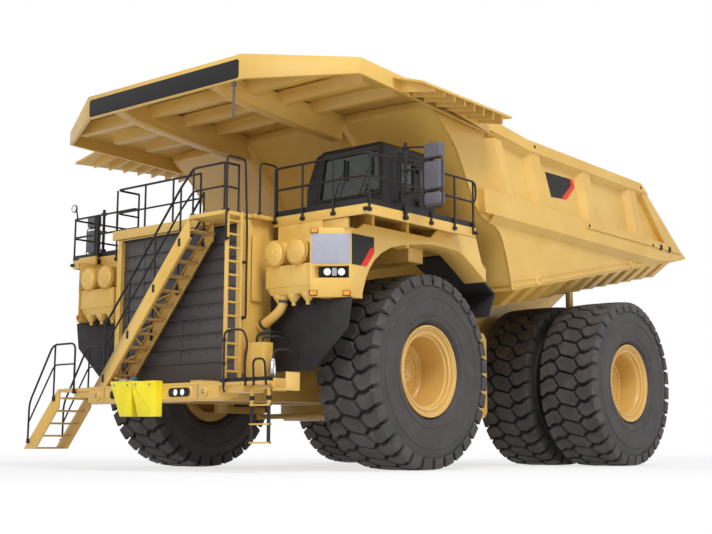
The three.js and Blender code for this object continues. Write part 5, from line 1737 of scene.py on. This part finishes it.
def front_equipment():
    """The duct, the cabinet, the filter and the hoses behind the near platform."""
    def duct(shape):
        bent_tube(shape, [(2.66, -3.04, 3.42), (2.62, -3.06, 3.14), (2.36, -3.10, 2.94),
                          (2.085, -3.12, 2.80)], 0.095, 0.22, 20)

    def clamps(shape):
        post(shape, (2.648, -3.044, 3.30), (2.640, -3.048, 3.24), 0.108, 20)
        post(shape, (2.20, -3.113, 2.862), (2.14, -3.116, 2.83), 0.108, 20)

    def cabinet(shape):
        block(shape, (2.16, -3.58, 1.7003), (2.62, -3.30, 2.46))
        block(shape, (2.19, -3.59, 1.78), (2.59, -3.575, 2.42))

    def canister(shape):
        post(shape, (2.74, -3.42, 1.7003), (2.74, -3.42, 1.78), 0.075, 24)
        post(shape, (2.74, -3.42, 1.78), (2.74, -3.42, 2.10), 0.065, 24)
        post(shape, (2.74, -3.42, 2.10), (2.74, -3.42, 2.14), 0.045, 24)

    def hoses(shape):
        bent_tube(shape, [(2.30, -3.42, 2.44), (2.30, -3.42, 2.62), (2.42, -3.14, 2.70), (2.42, -2.84, 2.66)],
                  0.028, 0.10)
        bent_tube(shape, [(2.46, -3.42, 2.44), (2.46, -3.42, 2.56), (2.60, -3.14, 2.60), (2.60, -2.84, 2.50)],
                  0.022, 0.10)
        bent_tube(shape, [(2.74, -3.42, 2.13), (2.74, -3.40, 2.30), (2.86, -3.10, 2.34), (2.86, -2.84, 2.24)],
                  0.022, 0.10)

    return [solid(PANEL_YELLOW, duct), solid(PANEL_GREY, clamps, 0.006), solid(PANEL_YELLOW, cabinet, 0.012),
            solid(HOIST_STEEL, canister, 0.008), solid(GUARD_RUBBER, hoses)]


truck_piece("front_equipment", front_equipment(), "chassis")


# ---- The CAD nodes that stay as they are ------------------------------------------------------

CAD_FINISHES = {
    "knuckle": BODY_YELLOW, "front_strut": BODY_YELLOW, "tie_rod": BODY_YELLOW, "frame": BODY_YELLOW,
    "rear_axle": BODY_YELLOW, "deck_support": BODY_YELLOW, "front_bumper": PANEL_YELLOW,
    "fender": PANEL_YELLOW, "side_tank": PANEL_YELLOW, "main_stair": PANEL_YELLOW,
    "front_ladder": PANEL_YELLOW, "access_stair": PANEL_YELLOW, "hanging_ladder": PANEL_YELLOW,
    "deck_centre": PANEL_YELLOW, "deck_left": PANEL_YELLOW, "deck_right": PANEL_YELLOW,
    "engine": PANEL_GREY, "radiator": PANEL_GREY, "radiator_guard": PANEL_GREY,
    "wheel_panel": PANEL_YELLOW, "air_cleaner": PANEL_YELLOW, "wheel_chocks": CHOCK_YELLOW,
    "cab_shell": CAB_BLACK, "cab_door": CAB_BLACK, "windshield": CAB_GLASS, "door_glass": CAB_GLASS,
    "side_glass": CAB_GLASS, "handrail": TUBE_BLACK, "hoist_barrel": TUBE_BLACK,
    "hoist_stage": HOIST_STEEL, "hoist_rod": HOIST_STEEL, "body": BODY_YELLOW, "canopy": BODY_YELLOW,
    "front_tyre": WALL_RUBBER, "rear_tyre": WALL_RUBBER, "front_rim": RIM_GOLD, "rear_rim": RIM_GOLD,
}


def finish_cad_nodes():
    """Gives each CAD node the finish of the longest name in the table that it starts with."""
    for name, node in frame["nodes"].items():
        start = max((key for key in CAD_FINISHES if name.startswith(key)), key=len)
        for place in node.material_slots:
            place.material = CAD_FINISHES[start]


finish_cad_nodes()
